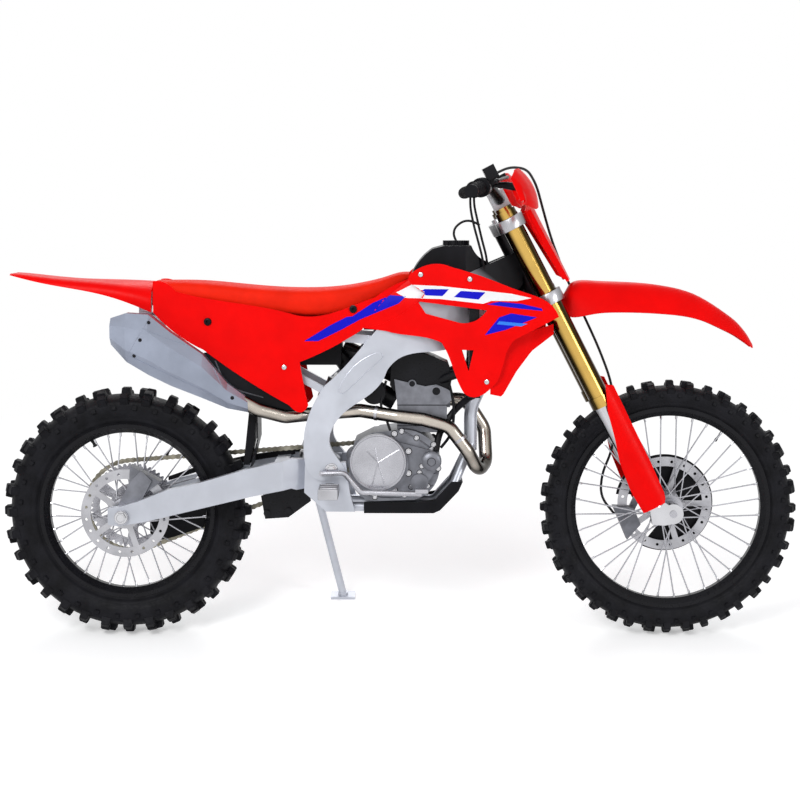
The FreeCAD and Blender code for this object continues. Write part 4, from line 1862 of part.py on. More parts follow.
def build():
    """Every piece of the upright bike, by name."""
    made = {}
    for name, shape in (("front_tyre", front_tyre()), ("front_rim", rim(FRONT_SEAT_RADIUS, FRONT_RIM_WIDTH)),
                        ("front_hub", front_hub()), ("front_disc", front_disc())):
        made[name] = at_axle(shape, FRONT_AXLE_X, FRONT_TYRE_RADIUS)
    for name, shape in (("rear_tyre", rear_tyre()), ("rear_rim", rim(REAR_SEAT_RADIUS, REAR_RIM_WIDTH)),
                        ("rear_hub", rear_hub()), ("rear_disc", rear_disc()),
                        ("rear_sprocket", rear_sprocket())):
        made[name] = at_axle(shape, REAR_AXLE_X, REAR_TYRE_RADIUS)
    ground = min(lean_over(made[name]).BoundBox.ZMin for name in ("front_tyre", "rear_tyre"))
    ground = ground / math.cos(math.radians(LEAN))
    pieces = [drive_chain, counter_sprocket, chain_guide, triple_clamps, fork_tubes, fork_legs,
              front_axle, handlebar, grips, controls, handguards, number_plate, front_fender,
              fork_guards, front_caliper, disc_cover, main_frame, swingarm, rear_axle,
              rear_caliper, rear_shock, shock_linkage, engine_cases, clutch_cover,
              engine_cylinder, head_cover, exhaust_pipe, silencer, radiators, shroud_left,
              shroud_right, side_panel_left, side_panel_right, heat_guard, rear_fender,
              rear_subframe, seat, fuel_tank, fuel_cap, airbox, mud_flap, skid_plate, footpegs,
              brake_pedal, shift_lever, front_brake_hose]
    for piece in pieces:
        made[piece.__name__] = piece()
    made["side_stand"] = side_stand(ground)
    for name, other in TRIMMED:
        pieces = made[name].cut(made[other]).Solids
        made[name] = Part.makeCompound([piece for piece in pieces if piece.Volume > TOUCH ** 3])
    return made


TRIMMED = (("brake_pedal", "main_frame"), ("heat_guard", "silencer"), ("heat_guard", "main_frame"),
           ("front_caliper", "fork_legs"), ("seat", "fuel_tank"), ("front_brake_hose", "front_caliper"),
           ("front_brake_hose", "controls"), ("footpegs", "main_frame"), ("swingarm", "main_frame"),
           ("rear_shock", "main_frame"), ("rear_subframe", "main_frame"),
           ("skid_plate", "main_frame"),
           ("radiators", "main_frame"), ("number_plate", "triple_clamps"),
           ("front_fender", "triple_clamps"), ("fork_guards", "fork_legs"),
           ("controls", "handlebar"))


def main():
    os.makedirs("parts", exist_ok=True)
    leaned = {name: lean_over(shape) for name, shape in build().items()}
    whole = Part.makeCompound(list(leaned.values())).optimalBoundingBox(False)
    shift = vec(-whole.Center.x, -whole.Center.y, -whole.ZMin)
    for name, shape in leaned.items():
        shape.translate(shift)
        shape.exportStep("parts/" + name + ".step")
    print("shift", tuple(shift), "box", whole.XLength, whole.YLength, whole.ZLength)


if __name__ == "__main__":
    main()
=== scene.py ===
import json
import math

import bmesh
import bpy
from bpy.props import FloatProperty, FloatVectorProperty, IntProperty, PointerProperty
from mathutils import Matrix, Vector
from mathutils.bvhtree import BVHTree


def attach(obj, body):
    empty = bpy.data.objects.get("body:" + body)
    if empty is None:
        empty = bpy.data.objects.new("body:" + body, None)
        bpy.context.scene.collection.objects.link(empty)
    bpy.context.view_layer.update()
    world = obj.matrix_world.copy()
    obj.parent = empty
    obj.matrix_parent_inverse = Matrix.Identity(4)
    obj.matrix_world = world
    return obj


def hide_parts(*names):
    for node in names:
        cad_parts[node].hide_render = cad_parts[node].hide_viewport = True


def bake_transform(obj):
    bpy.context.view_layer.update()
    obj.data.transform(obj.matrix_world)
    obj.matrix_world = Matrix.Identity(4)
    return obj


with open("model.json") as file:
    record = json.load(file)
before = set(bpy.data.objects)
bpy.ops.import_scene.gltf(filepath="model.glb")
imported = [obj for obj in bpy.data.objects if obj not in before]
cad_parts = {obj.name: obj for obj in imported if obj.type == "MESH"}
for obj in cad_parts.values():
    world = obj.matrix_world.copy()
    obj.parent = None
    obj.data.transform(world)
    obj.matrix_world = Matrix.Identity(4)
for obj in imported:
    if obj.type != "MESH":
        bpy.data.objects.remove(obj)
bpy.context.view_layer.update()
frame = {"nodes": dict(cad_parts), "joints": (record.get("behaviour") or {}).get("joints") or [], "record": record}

bl_info = {
    "name": "Motocross Bike",
    "version": (1, 0, 0),
    "blender": (4, 5, 0),
    "location": "View3D > Sidebar > Bike",
    "description": "Finishes and fine pieces of a motocross bike on its side stand",
    "category": "Object",
}

MILLIMETRE = 0.001

# The bike's own upright frame: X ahead, Y to the rider's left, Z up, in millimetres
JOINTS = {joint["name"]: joint for joint in frame["joints"]}
SIDE = Vector(JOINTS["rear_wheel_spin"]["axis"])
AHEAD = Vector((1.0, 0.0, 0.0))
UP = AHEAD.cross(SIDE)
REAR_AXLE = Vector((-738.43, 0.0, 338.0))


def bike_frame():
    """The matrix from the bike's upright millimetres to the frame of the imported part."""
    turn = Matrix((AHEAD, SIDE, UP)).transposed()
    rear = Vector(JOINTS["rear_wheel_spin"]["pos_m"])
    shift = rear - turn @ (REAR_AXLE * MILLIMETRE)
    return Matrix.Translation(shift) @ turn.to_4x4() @ Matrix.Scale(MILLIMETRE, 4)


BIKE = bike_frame()
TO_BIKE = BIKE.inverted()
FRONT_AXLE = TO_BIKE @ Vector(JOINTS["front_wheel_spin"]["pos_m"])
STEER_UP = (TO_BIKE.to_3x3() @ Vector(JOINTS["steering_turn"]["axis"])).normalized()
STEER_AHEAD = Vector((0.0, 1.0, 0.0)).cross(STEER_UP)
CLAMP_OFFSET = 22.0
AXLE_LEAD = 34.8
STEER_FOOT = FRONT_AXLE - STEER_AHEAD * (CLAMP_OFFSET + AXLE_LEAD)


def fork_point(ahead, side, up):
    """A point by its place ahead of the steering axis, to the left, and up along it."""
    return STEER_FOOT + STEER_AHEAD * ahead + Vector((0.0, side, 0.0)) + STEER_UP * up


# Sizes and colours that a user would change

def colour_setting(name, description, default):
    return FloatVectorProperty(name=name, description=description, default=default,
                               subtype="COLOR", min=0.0, max=1.0)


def size_setting(name, description, default, low, high):
    return FloatProperty(name=name, description=description, default=default, min=low, max=high)


class BikeColours(bpy.types.PropertyGroup):
    plastic: colour_setting("Plastic", "Body panels and fenders", (0.86, 0.002, 0.002))
    seat: colour_setting("Seat", "Seat cover", (0.86, 0.018, 0.004))
    stripe: colour_setting("Stripe", "Deep blue stripes", (0.008, 0.008, 0.55))
    light_stripe: colour_setting("Light stripe", "Light blue stripe", (0.04, 0.22, 0.85))
    band: colour_setting("Band", "White band on the shrouds", (0.88, 0.88, 0.9))
    # The black is also painted shade: on the frame round the steering head, in the cylinder bosses' holes and on
    # the radiator grilles
    black: colour_setting("Black", "Black plastics, metals, grips and hoses",
                          (0.006, 0.006, 0.008))
    tyre: colour_setting("Tyre", "Tyres", (0.007, 0.007, 0.009))
    frame_grey: colour_setting("Frame", "Frame and swingarm", (0.54, 0.56, 0.62))
    fork: colour_setting("Fork", "Outer fork tubes", (0.72, 0.46, 0.12))
    silencer: colour_setting("Silencer", "Silencer's shell", (0.30, 0.33, 0.41))
    floor: colour_setting("Floor", "Floor of the studio", (0.9, 0.9, 0.9))


class BikeSizes(bpy.types.PropertyGroup):
    screw: size_setting("Screw", "Radius of a panel screw's head", 7.0, 2.0, 15.0)
    bolt: size_setting("Bolt", "Radius of an engine bolt's head", 6.0, 2.0, 15.0)
    film: size_setting("Film", "Lift of the stripes off their panels", 0.4, 0.1, 2.0)
    knob_round: size_setting("Knob rounding", "Rounding of the tread blocks", 1.4, 0.2, 5.0)
    edge_round: size_setting("Edge rounding", "Rounding of machined edges", 1.2, 0.1, 5.0)
    tyre_steps: IntProperty(
        name="Tyre steps", description="Panels round a tyre", default=120, min=24, max=360)


def colours():
    return bpy.context.scene.bike_colours


def sizes():
    return bpy.context.scene.bike_sizes


# Node materials

def link(tree, source, socket):
    tree.links.new(source, socket)


def noise(tree, place, scale, detail=4.0, stretch=None):
    """The factor of a noise texture at a number of bumps to the metre."""
    node = tree.nodes.new("ShaderNodeTexNoise")
    node.inputs["Scale"].default_value = scale
    node.inputs["Detail"].default_value = detail
    source = place
    if stretch:
        mapping = tree.nodes.new("ShaderNodeMapping")
        mapping.inputs["Scale"].default_value = stretch
        link(tree, place, mapping.inputs["Vector"])
        source = mapping.outputs["Vector"]
    link(tree, source, node.inputs["Vector"])
    return node.outputs["Fac"]


def ramp(tree, factor, stops):
    """A colour ramp over a factor."""
    node = tree.nodes.new("ShaderNodeValToRGB")
    points = node.color_ramp.elements
    while len(points) < len(stops):
        points.new(0.5)
    for point, (place, colour) in zip(points, stops):
        point.position = place
        point.color = (*colour[:3], 1.0)
    link(tree, factor, node.inputs["Fac"])
    return node.outputs["Color"]


def stretched(tree, value, low, high, to_low=0.0, to_high=1.0):
    """A value whose range from low to high is stretched over another range."""
    node = tree.nodes.new("ShaderNodeMapRange")
    for socket, setting in (("From Min", low), ("From Max", high), ("To Min", to_low),
                            ("To Max", to_high)):
        node.inputs[socket].default_value = setting
    link(tree, value, node.inputs["Value"])
    return node.outputs["Result"]


def vector_math(tree, operation, result, source, other=(0.0, 0.0, 0.0)):
    """The named result of an operation on a vector."""
    node = tree.nodes.new("ShaderNodeVectorMath")
    node.operation = operation
    link(tree, source, node.inputs[0])
    node.inputs[1].default_value = other
    return node.outputs[result]


def gone_over(tree, factor, colour, other):
    """A colour that goes over to a plain one by a factor."""
    mix = tree.nodes.new("ShaderNodeMix")
    mix.data_type = "RGBA"
    link(tree, factor, mix.inputs["Factor"])
    link(tree, colour, mix.inputs["A"])
    mix.inputs["B"].default_value = (*other, 1.0)
    return mix.outputs["Result"]


def bump(tree, height, strength, distance, before=None):
    """A bump from a height, on top of an earlier one."""
    node = tree.nodes.new("ShaderNodeBump")
    node.inputs["Strength"].default_value = strength
    node.inputs["Distance"].default_value = distance
    link(tree, height, node.inputs["Height"])
    if before:
        link(tree, before, node.inputs["Normal"])
    return node.outputs["Normal"]


def shade(colour, factor):
    return tuple(min(1.0, c * factor) for c in colour[:3])


# Where the painted shade at the edges turned from the view begins
RIM_SHADE_START = 0.02
NOISE_MIDDLE = (0.3, 0.7)


def rim_dark(tree, colour, dark, reach_to):
    """A colour that goes over to a darker one where the surface turns away from the view: painted shade at the
    edges.
    """
    turned = tree.nodes.new("ShaderNodeLayerWeight")
    turned.inputs["Blend"].default_value = 0.5
    return gone_over(tree, stretched(tree, turned.outputs["Facing"], RIM_SHADE_START, reach_to),
                     colour, dark)


# Ends a finish's name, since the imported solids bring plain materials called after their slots
FINISHED = "_finish"


def finish(name, colour, roughness, metallic=0.0, tone=0.12, tone_scale=14.0, grain=900.0,
           grain_depth=0.00005, wave=0.0, streak=None, spread_by=0.06, rim=0.0, rim_shade_reach=0.5,
           specular=0.5):
    """A surface with mottled tone, uneven gloss and a fine grain, with painted shade where it turns away from the
    view.
    """
    made = bpy.data.materials.get(name + FINISHED)
    if made:
        return made
    made = bpy.data.materials.new(name + FINISHED)
    made.use_nodes = True
    tree = made.node_tree
    shader = tree.nodes["Principled BSDF"]
    place = tree.nodes.new("ShaderNodeTexCoord").outputs["Object"]
    cloud = noise(tree, place, tone_scale, 5.0)
    toned = ramp(tree, cloud, [(0.35, shade(colour, 1 - tone)), (0.65, shade(colour, 1 + tone))])
    # The rim share darkens the colour where the surface turns from the view: painted shade
    if rim:
        toned = rim_dark(tree, toned, shade(colour, 1 - rim), rim_shade_reach)
    link(tree, toned, shader.inputs["Base Color"])
    worn = noise(tree, place, tone_scale * 7, 6.0, streak)
    link(tree, stretched(tree, worn, *NOISE_MIDDLE, roughness - spread_by, roughness + spread_by),
         shader.inputs["Roughness"])
    fine = noise(tree, place, grain, 3.0, streak)
    normal = bump(tree, fine, 0.6, grain_depth)
    if wave:
        normal = bump(tree, noise(tree, place, 38.0, 2.0), 0.5, wave, normal)
    link(tree, normal, shader.inputs["Normal"])
    shader.inputs["Metallic"].default_value = metallic
    shader.inputs["Specular IOR Level"].default_value = specular
    return made


def red_plastic():
    return finish("red_plastic", colours().plastic, 0.34, tone=0.05, grain=1400.0,
                  grain_depth=0.00002, wave=0.0002, specular=0.06)


def black_plastic():
    return finish("black_plastic", colours().black, 0.4, tone=0.35, grain=1600.0,
                  grain_depth=0.00008, specular=0.12)


def black_metal():
    return finish("black_metal", colours().black, 0.3, metallic=0.1, tone=0.25, grain=1100.0,
                  grain_depth=0.00003, specular=0.2)


# The painted shade on the frame round the steering head: where it starts, the way it spreads and how far it blends
# in, in millimetres
HEAD_SHADE_PLACE = (220.0, 0.0, 930.0)
HEAD_SHADE_WAY = (0.6, 0.0, 0.8)
HEAD_SHADE_BLEND = 60.0


def frame_metal():
    """Bare brushed aluminium, going over to black round the steering head as painted shade."""
    made = bpy.data.materials.get("frame_metal" + FINISHED)
    if made:
        return made
    made = finish("frame_metal", colours().frame_grey, 0.36, metallic=0.62, tone=0.08,
                  tone_scale=9.0, grain=1300.0, grain_depth=0.00004)
    tree = made.node_tree
    shader = tree.nodes["Principled BSDF"]
    bare = shader.inputs["Base Color"].links[0].from_socket
    along = (BIKE.to_3x3() @ Vector(HEAD_SHADE_WAY)).normalized()
    place = tree.nodes.new("ShaderNodeTexCoord").outputs["Object"]
    offset = vector_math(tree, "SUBTRACT", "Vector", place, BIKE @ Vector(HEAD_SHADE_PLACE))
    reach = vector_math(tree, "DOT_PRODUCT", "Value", offset, along)
    # The frame goes over to black toward the steering head: painted shade
    cover = stretched(tree, reach, 0.0, HEAD_SHADE_BLEND * MILLIMETRE)
    link(tree, gone_over(tree, cover, bare, colours().black), shader.inputs["Base Color"])
    return made


# The rim shares of the metals below paint shade at their edges turned from the view
def cast_metal():
    return finish("cast_metal", (0.19, 0.195, 0.22), 0.42, metallic=0.8, tone=0.2,
                  tone_scale=30.0, grain=800.0, grain_depth=0.00012, rim=0.4)


def machined_metal():
    return finish("machined_metal", (0.50, 0.50, 0.54), 0.28, metallic=0.95, tone=0.1,
                  grain=500.0, grain_depth=0.00002, streak=(1.0, 14.0, 1.0), rim=0.4)


def brushed_steel():
    return finish("brushed_steel", (0.50, 0.50, 0.53), 0.32, metallic=1.0, tone=0.12, grain=420.0,
                  grain_depth=0.00003, streak=(12.0, 1.0, 1.0), rim=0.5)


def header_steel():
    return finish("header_steel", (0.56, 0.51, 0.45), 0.22, metallic=1.0, tone=0.16,
                  tone_scale=11.0, grain=600.0, grain_depth=0.00002, spread_by=0.08, rim=0.88,
                  rim_shade_reach=0.36)


def polished_steel():
    return finish("polished_steel", (0.66, 0.66, 0.69), 0.16, metallic=1.0, tone=0.06,
                  grain=500.0, grain_depth=0.00001, rim=0.7)


def gold_metal():
    return finish("gold_metal", colours().fork, 0.17, metallic=1.0, tone=0.08, grain=420.0,
                  grain_depth=0.00001, streak=(1.0, 1.0, 9.0), rim=0.95, rim_shade_reach=0.2)


def silencer_metal():
    return finish("silencer_metal", colours().silencer, 0.34, metallic=0.8, tone=0.1,
                  tone_scale=10.0, grain=700.0, grain_depth=0.00003, streak=(1.0, 1.0, 8.0))


def chain_steel():
    return finish("chain_steel", (0.30, 0.28, 0.22), 0.38, metallic=0.95, tone=0.35,
                  tone_scale=60.0, grain=900.0, grain_depth=0.00005)


def tyre_rubber():
    return finish("tyre_rubber", colours().tyre, 0.58, tone=0.4, tone_scale=22.0, grain=1500.0,
                  grain_depth=0.00012, spread_by=0.12, specular=0.12)


def grip_rubber():
    return finish("grip_rubber", colours().black, 0.62, tone=0.3, grain=1900.0,
                  grain_depth=0.0002, specular=0.12)


def hose_rubber():
    return finish("hose_rubber", colours().black, 0.42, tone=0.25, grain=1200.0,
                  grain_depth=0.00005, streak=(1.0, 1.0, 6.0), specular=0.2)


def seat_cover():
    return finish("seat_cover", colours().seat, 0.55, tone=0.07, grain=2100.0,
                  grain_depth=0.00025, specular=0.06)


def film(name, colour):
    return finish(name, colour, 0.3, tone=0.05, grain=1800.0, grain_depth=0.00001, specular=0.1)


FINISHES = {
    "red_plastic": red_plastic, "black_plastic": black_plastic, "black_metal": black_metal,
    "frame_metal": frame_metal, "cast_metal": cast_metal, "machined_metal": machined_metal,
    "steel": brushed_steel, "bright_steel": polished_steel, "gold_metal": gold_metal,
    "silencer_metal": silencer_metal, "chain_steel": chain_steel, "tyre": tyre_rubber,
    "grip_rubber": grip_rubber, "hose": hose_rubber, "seat_cover": seat_cover,
}
NODE_FINISHES = {"exhaust_pipe": header_steel, "number_plate": red_plastic,
                 "triple_clamps": brushed_steel, "shock_linkage": black_metal}
ROUNDED_NODES = ("triple_clamps", "front_caliper", "rear_caliper", "engine_cylinder", "head_cover",
                 "radiators", "footpegs", "shock_linkage", "swingarm", "clutch_cover", "airbox",
                 "controls", "side_stand", "chain_guide", "skid_plate", "rear_subframe")


def round_edges(node):
    """Rounds the sharp edges of a shown solid."""
    weld = node.modifiers.new("Weld", "WELD")
    weld.merge_threshold = 0.01 * MILLIMETRE
    flat = node.modifiers.new("Flat faces", "DECIMATE")
    flat.decimate_type = "DISSOLVE"
    flat.angle_limit = math.radians(0.5)
    edge = node.modifiers.new("Round edges", "BEVEL")
    edge.width = sizes().edge_round * MILLIMETRE
    edge.segments = 2
    edge.limit_method = "ANGLE"
    edge.angle_limit = math.radians(40)
    edge.harden_normals = True


# Mesh building in the bike's millimetres

def finish_piece(name, bm, body, material, smooth=35.0):
    """Turns a mesh in the bike's millimetres into a piece, which rides on a body if one is given."""
    bm.transform(BIKE)
    bmesh.ops.recalc_face_normals(bm, faces=bm.faces)
    mesh = bpy.data.meshes.new(name)
    bm.to_mesh(mesh)
    bm.free()
    mesh.materials.append(material)
    mesh.polygons.foreach_set("use_smooth", [True] * len(mesh.polygons))
    mesh.set_sharp_from_angle(angle=math.radians(smooth))
    piece = bpy.data.objects.new(name, mesh)
    bpy.context.scene.collection.objects.link(piece)
    if body:
        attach(piece, body)
    return piece


def aimed(point, axis):
    """A local frame at a point whose Z runs along an axis."""
    turn = Vector((0.0, 0.0, 1.0)).rotation_difference(Vector(axis).normalized())
    return Matrix.Translation(point) @ turn.to_matrix().to_4x4()


def lathe(bm, profile, place, steps=24, closed=False):
    """A turned solid from radius and height pairs, along the Z of a local frame."""
    rings = []
    for radius, height in profile:
        if radius == 0:
            rings.append([bm.verts.new(place @ Vector((0.0, 0.0, height)))])
            continue
        ring = []
        for i in range(steps):
            angle = 2 * math.pi * i / steps
            local = Vector((radius * math.cos(angle), radius * math.sin(angle), height))
            ring.append(bm.verts.new(place @ local))
        rings.append(ring)
    pairs = list(zip(rings, rings[1:]))
    if closed:
        pairs.append((rings[-1], rings[0]))
    for low, high in pairs:
        for i in range(steps):
            j = (i + 1) % steps
            if len(low) == 1:
                bm.faces.new((low[0], high[j], high[i]))
            elif len(high) == 1:
                bm.faces.new((low[i], low[j], high[0]))
            else:
                bm.faces.new((low[i], low[j], high[j], high[i]))


def prism(bm, outline, low, high, place):
    """A straight solid over an outline in the X and Y of a local frame."""
    bottom = [bm.verts.new(place @ Vector((x, y, low))) for x, y in outline]
    top = [bm.verts.new(place @ Vector((x, y, high))) for x, y in outline]
    bm.faces.new(bottom)
    bm.faces.new(top[::-1])
    for i in range(len(outline)):
        j = (i + 1) % len(outline)
        bm.faces.new((bottom[i], bottom[j], top[j], top[i]))


# Turns a local Z to run across the bike
SIDEWAYS = Matrix.Rotation(math.radians(-90), 4, "X")


def side_prism(bm, outline, low, high):
    """A straight solid over an outline in the side view, between two places across the bike."""
    prism(bm, [(x, -z) for x, z in outline], low, high, SIDEWAYS)


def pipe(bm, points, radius, sides=12):
    """A round bar along points, with flat ends."""
    rings = []
    normal = None
    for i, point in enumerate(points):
        ahead = points[min(i + 1, len(points) - 1)] - points[max(i - 1, 0)]
        ahead.normalize()
        if normal is None:
            normal = ahead.orthogonal().normalized()
        normal = (normal - ahead * normal.dot(ahead)).normalized()
        across = ahead.cross(normal)
        ring = []
        for k in range(sides):
            angle = 2 * math.pi * k / sides
            out = normal * math.cos(angle) + across * math.sin(angle)
            ring.append(bm.verts.new(point + out * radius))
        rings.append(ring)
    for low, high in zip(rings, rings[1:]):
        for k in range(sides):
            j = (k + 1) % sides
            bm.faces.new((low[k], low[j], high[j], high[k]))
    bm.faces.new(rings[0][::-1])
    bm.faces.new(rings[-1])


def smooth_line(points, count):
    """Points on a smooth curve through a few points."""
    made = []
    for i in range(len(points) - 1):
        before = points[max(i - 1, 0)]
        after = points[min(i + 2, len(points) - 1)]
        for k in range(count):
            t = k / count
            a = 2 * t ** 3 - 3 * t ** 2 + 1
            b = t ** 3 - 2 * t ** 2 + t
            c = -2 * t ** 3 + 3 * t ** 2
            d = t ** 3 - t ** 2
            made.append(points[i] * a + (points[i + 1] - before) / 2 * b + points[i + 1] * c
                        + (after - points[i]) / 2 * d)
    made.append(points[-1].copy())
    return made


SURFACES = {}
REACH = 700.0


def surface_at(node, x, z, side):
    """The outermost point of a node and its normal, straight in from one side."""
    if node not in SURFACES:
        mesh = (frame["nodes"].get(node) or bpy.data.objects[node]).data
        corners = [TO_BIKE @ v.co for v in mesh.vertices]
        mesh.calc_loop_triangles()
        SURFACES[node] = BVHTree.FromPolygons(corners, [t.vertices[:] for t in mesh.loop_triangles])
    start = Vector((x, side * REACH, z))
    point, normal = SURFACES[node].ray_cast(start, Vector((0.0, -side, 0.0)))[:2]
    if point is None:
        return None, None
    if normal.y * side < 0:
        normal = -normal
    return point, normal


def outermost(nodes, x, z, side):
    """The outermost point of a few nodes, straight in from one side, or None."""
    found = [surface_at(node, x, z, side)[0] for node in nodes]
    return max((spot for spot in found if spot is not None), key=lambda spot: spot.y * side,
               default=None)


def cap_screw(bm, point, axis, radius):
    """A rounded head with a socket."""
    lathe(bm, [(radius, -radius * 0.3), (radius, radius * 0.25), (radius * 0.88, radius * 0.5),
               (radius * 0.6, radius * 0.62), (radius * 0.42, radius * 0.62),
               (radius * 0.38, radius * 0.1), (0, radius * 0.1)], aimed(point, axis))


def hex_bolt(bm, point, axis, radius):
    """A six-sided head on its washer."""
    place = aimed(point, axis)
    lathe(bm, [(radius * 1.25, -radius * 0.2), (radius * 1.25, radius * 0.1),
               (radius * 1.2, radius * 0.2), (0, radius * 0.2)], place)
    outline = [(radius * math.cos(math.radians(60 * i)), radius * math.sin(math.radians(60 * i)))
               for i in range(6)]
    prism(bm, outline, radius * 0.1, radius * 0.75, place)
    lathe(bm, [(radius * 0.84, radius * 0.7), (radius * 0.7, radius * 0.85),
               (0, radius * 0.85)], place)


def border_point(node, inside, outside, side):
    """The last point of a panel on the way from one that is on it to one that is not."""
    held = surface_at(node, inside[0], inside[1], side)
    for _ in range(12):
        middle = ((inside[0] + outside[0]) / 2, (inside[1] + outside[1]) / 2)
        found = surface_at(node, middle[0], middle[1], side)
        if found[0] is None:
            outside = middle
        else:
            inside = middle
            held = found
    return held


FILM_EDGE = 9.0
FINE_EDGE = 4.0


def decal(name, node, outline, side, material, layer=1, edge=FILM_EDGE):
    """A film over a panel, cut to an outline in the side view and to the panel's edge."""
    bm = bmesh.new()
    verts = [bm.verts.new((x, 0.0, z)) for x, z in outline]
    bm.faces.new(verts)
    bmesh.ops.triangulate(bm, faces=bm.faces)
    for _ in range(8):
        long_edges = [e for e in bm.edges if e.calc_length() > edge]
        if not long_edges:
            break
        bmesh.ops.subdivide_edges(bm, edges=long_edges, cuts=1)
        bmesh.ops.triangulate(bm, faces=bm.faces)
    spots = {v: surface_at(node, v.co.x, v.co.z, side) for v in bm.verts}
    places = {v: (v.co.x, v.co.z) for v in bm.verts}
    for v in bm.verts:
        if spots[v][0] is None:
            held = [e.other_vert(v) for e in v.link_edges]
            held = [w for w in held if surface_at(node, *places[w], side)[0] is not None]
            if held:
                nearest = min(held, key=lambda w: math.dist(places[w], places[v]))
                spots[v] = border_point(node, places[nearest], places[v], side)
    bmesh.ops.delete(bm, geom=[v for v in bm.verts if spots[v][0] is None], context="VERTS")
    if not bm.faces:
        raise RuntimeError(name + " lies beside its panel")
    for v in bm.verts:
        point, normal = spots[v]
        v.co = point + normal * (sizes().film * layer)
    finish_piece(name, bm, "chassis", material)


# Wheels

# Outer and seat radius, width, rows of blocks, their height, their run along the tread, the
# widths of the middle and the side ones, and half the tyre's width at the bead
FRONT_TREAD = (348.5, 269.3, 74.0, 40, 14.0, 22.0, 30.0, 22.0, 21.7)
REAR_TREAD = (338.0, 231.8, 102.0, 32, 17.0, 27.0, 38.0, 27.0, 29.7)
FRONT_SEAT = 269.0
REAR_SEAT = 231.5
KNOB_TAPER = 0.84

TYRE_PROFILE = ((0.0, 0.0), (0.02, 0.02), (0.12, 0.10), (0.20, 0.48), (0.26, 0.62), (0.30, 0.66),
                (0.42, 0.90), (0.60, 1.0), (0.78, 0.93), (0.90, 0.72), (0.97, 0.40), (1.0, 0.0))


def tyre_section(seat, crown, bead_half, half):
    """The right half of a tyre's section as radius and place across."""
    points = []
    for rise, share in TYRE_PROFILE:
        if rise < 0.9:
            across = bead_half + (half - bead_half) * share
        else:
            across = half * share
        points.append(Vector((seat + rise * (crown - seat), across, 0.0)))
    return [(p.x, p.y) for p in smooth_line(points, 3)]


def block(across, along, low, high, round_by):
    """A rounded tread block: X across, Y along the tread, Z out."""
    bm = bmesh.new()
    corners = ((-1, -1), (1, -1), (1, 1), (-1, 1))
    bottom = [bm.verts.new((a * across / 2, b * along / 2, low)) for a, b in corners]
    top = [bm.verts.new((a * across / 2 * KNOB_TAPER, b * along / 2 * KNOB_TAPER, high))
           for a, b in corners]
    bm.faces.new(top)
    bm.faces.new(bottom[::-1])
    for i in range(4):
        j = (i + 1) % 4
        bm.faces.new((bottom[i], bottom[j], top[j], top[i]))
    edges = [e for e in bm.edges if not all(v in bottom for v in e.verts)]
    bmesh.ops.bevel(bm, geom=edges, offset=round_by, segments=2, affect="EDGES")
    mesh = bpy.data.meshes.new("block")
    bm.to_mesh(mesh)
    bm.free()
    return mesh


def add_copy(bm, mesh, place):
    """Adds a copy of a mesh in a place."""
    first = len(bm.verts)
    bm.from_mesh(mesh)
    bm.verts.ensure_lookup_table()
    for v in bm.verts[first:]:
        v.co = place @ v.co


def tread_place(centre, radius, across, lean, turn):
    """The frame of a tread block: X across the bike, Y along the tread, Z out and leaning."""
    angle = math.radians(turn)
    out = Vector((math.cos(angle), 0.0, math.sin(angle)))
    side = Vector((0.0, 1.0, 0.0))
    tilt = math.radians(lean)
    up = out * math.cos(tilt) + side * math.sin(tilt)
    cross = side * math.cos(tilt) - out * math.sin(tilt)
    along = up.cross(cross)
    point = centre + out * radius + side * across
    turned = Matrix((cross, along, up)).transposed().to_4x4()
    return Matrix.Translation(point) @ turned


def knobbly_tyre(name, body, centre, outer, seat, width, rows, height, along, middle, side,
                 bead_half):
    """A tyre with a rounded carcass and rounded tread blocks in place of the plain one."""
    crown = outer - height
    half = width / 2
    bm = bmesh.new()
    right = tyre_section(seat, crown, bead_half, half)
    profile = [(r, y) for r, y in right] + [(r, -y) for r, y in reversed(right[:-1])]
    lathe(bm, profile, Matrix.Translation(centre) @ SIDEWAYS, sizes().tyre_steps, closed=True)
    soft = sizes().knob_round
    centre_block = block(middle, along, -4.0, height, soft)
    split_block = block(middle * 0.44, along * 0.9, -4.0, height, soft)
    side_block = block(side, along, -4.0, height, soft)
    edge_block = block(side * 0.9, along * 0.95, -5.0, height, soft)
    low_block = block(side * 0.5, along * 0.5, -3.0, height * 0.35, soft * 0.7)
    shoulder_r = seat + 8.0 + 0.82 * (crown - seat - 8.0)
    for i in range(rows):
        turn = i * 360.0 / rows - 90.0
        if i % 2 == 0:
            add_copy(bm, centre_block, tread_place(centre, crown, 0.0, 0.0, turn))
        else:
            for sign in (-1, 1):
                add_copy(bm, split_block, tread_place(centre, crown - 0.5, sign * middle * 0.3,
                                                      sign * 6.0, turn + 90.0 / rows))
        for sign in (-1, 1):
            if i % 2:
                add_copy(bm, side_block, tread_place(centre, crown - 3.0, sign * half * 0.56,
                                                     sign * 20.0, turn))
            add_copy(bm, edge_block, tread_place(centre, shoulder_r, sign * half * 0.88,
                                                 sign * 35.0, turn))
            add_copy(bm, low_block, tread_place(centre, seat + 0.62 * (crown - seat),
                                                sign * half * 0.99, sign * 80.0,
                                                turn + 180.0 / rows))
    for mesh in (centre_block, split_block, side_block, edge_block, low_block):
        bpy.data.meshes.remove(mesh)
    piece = finish_piece(name + "_tread", bm, body, tyre_rubber(), 40.0)
    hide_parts(name)


SPOKES_A_SIDE = 18
NIPPLE_PROFILE = ((0, 0), (2.4, 0), (3.2, 4.0), (3.2, 12.0), (0, 12.0))
NIPPLE_DEPTH = 28.0
NIPPLE_SIDE = 5.0
NIPPLE_LEAN = 0.03
# Place round the wheel in degrees, radius and length
STEMS = ((55.0, 3.6, 34.0), (117.0, 5.5, 22.0))
STEM_DEPTH = 15.0


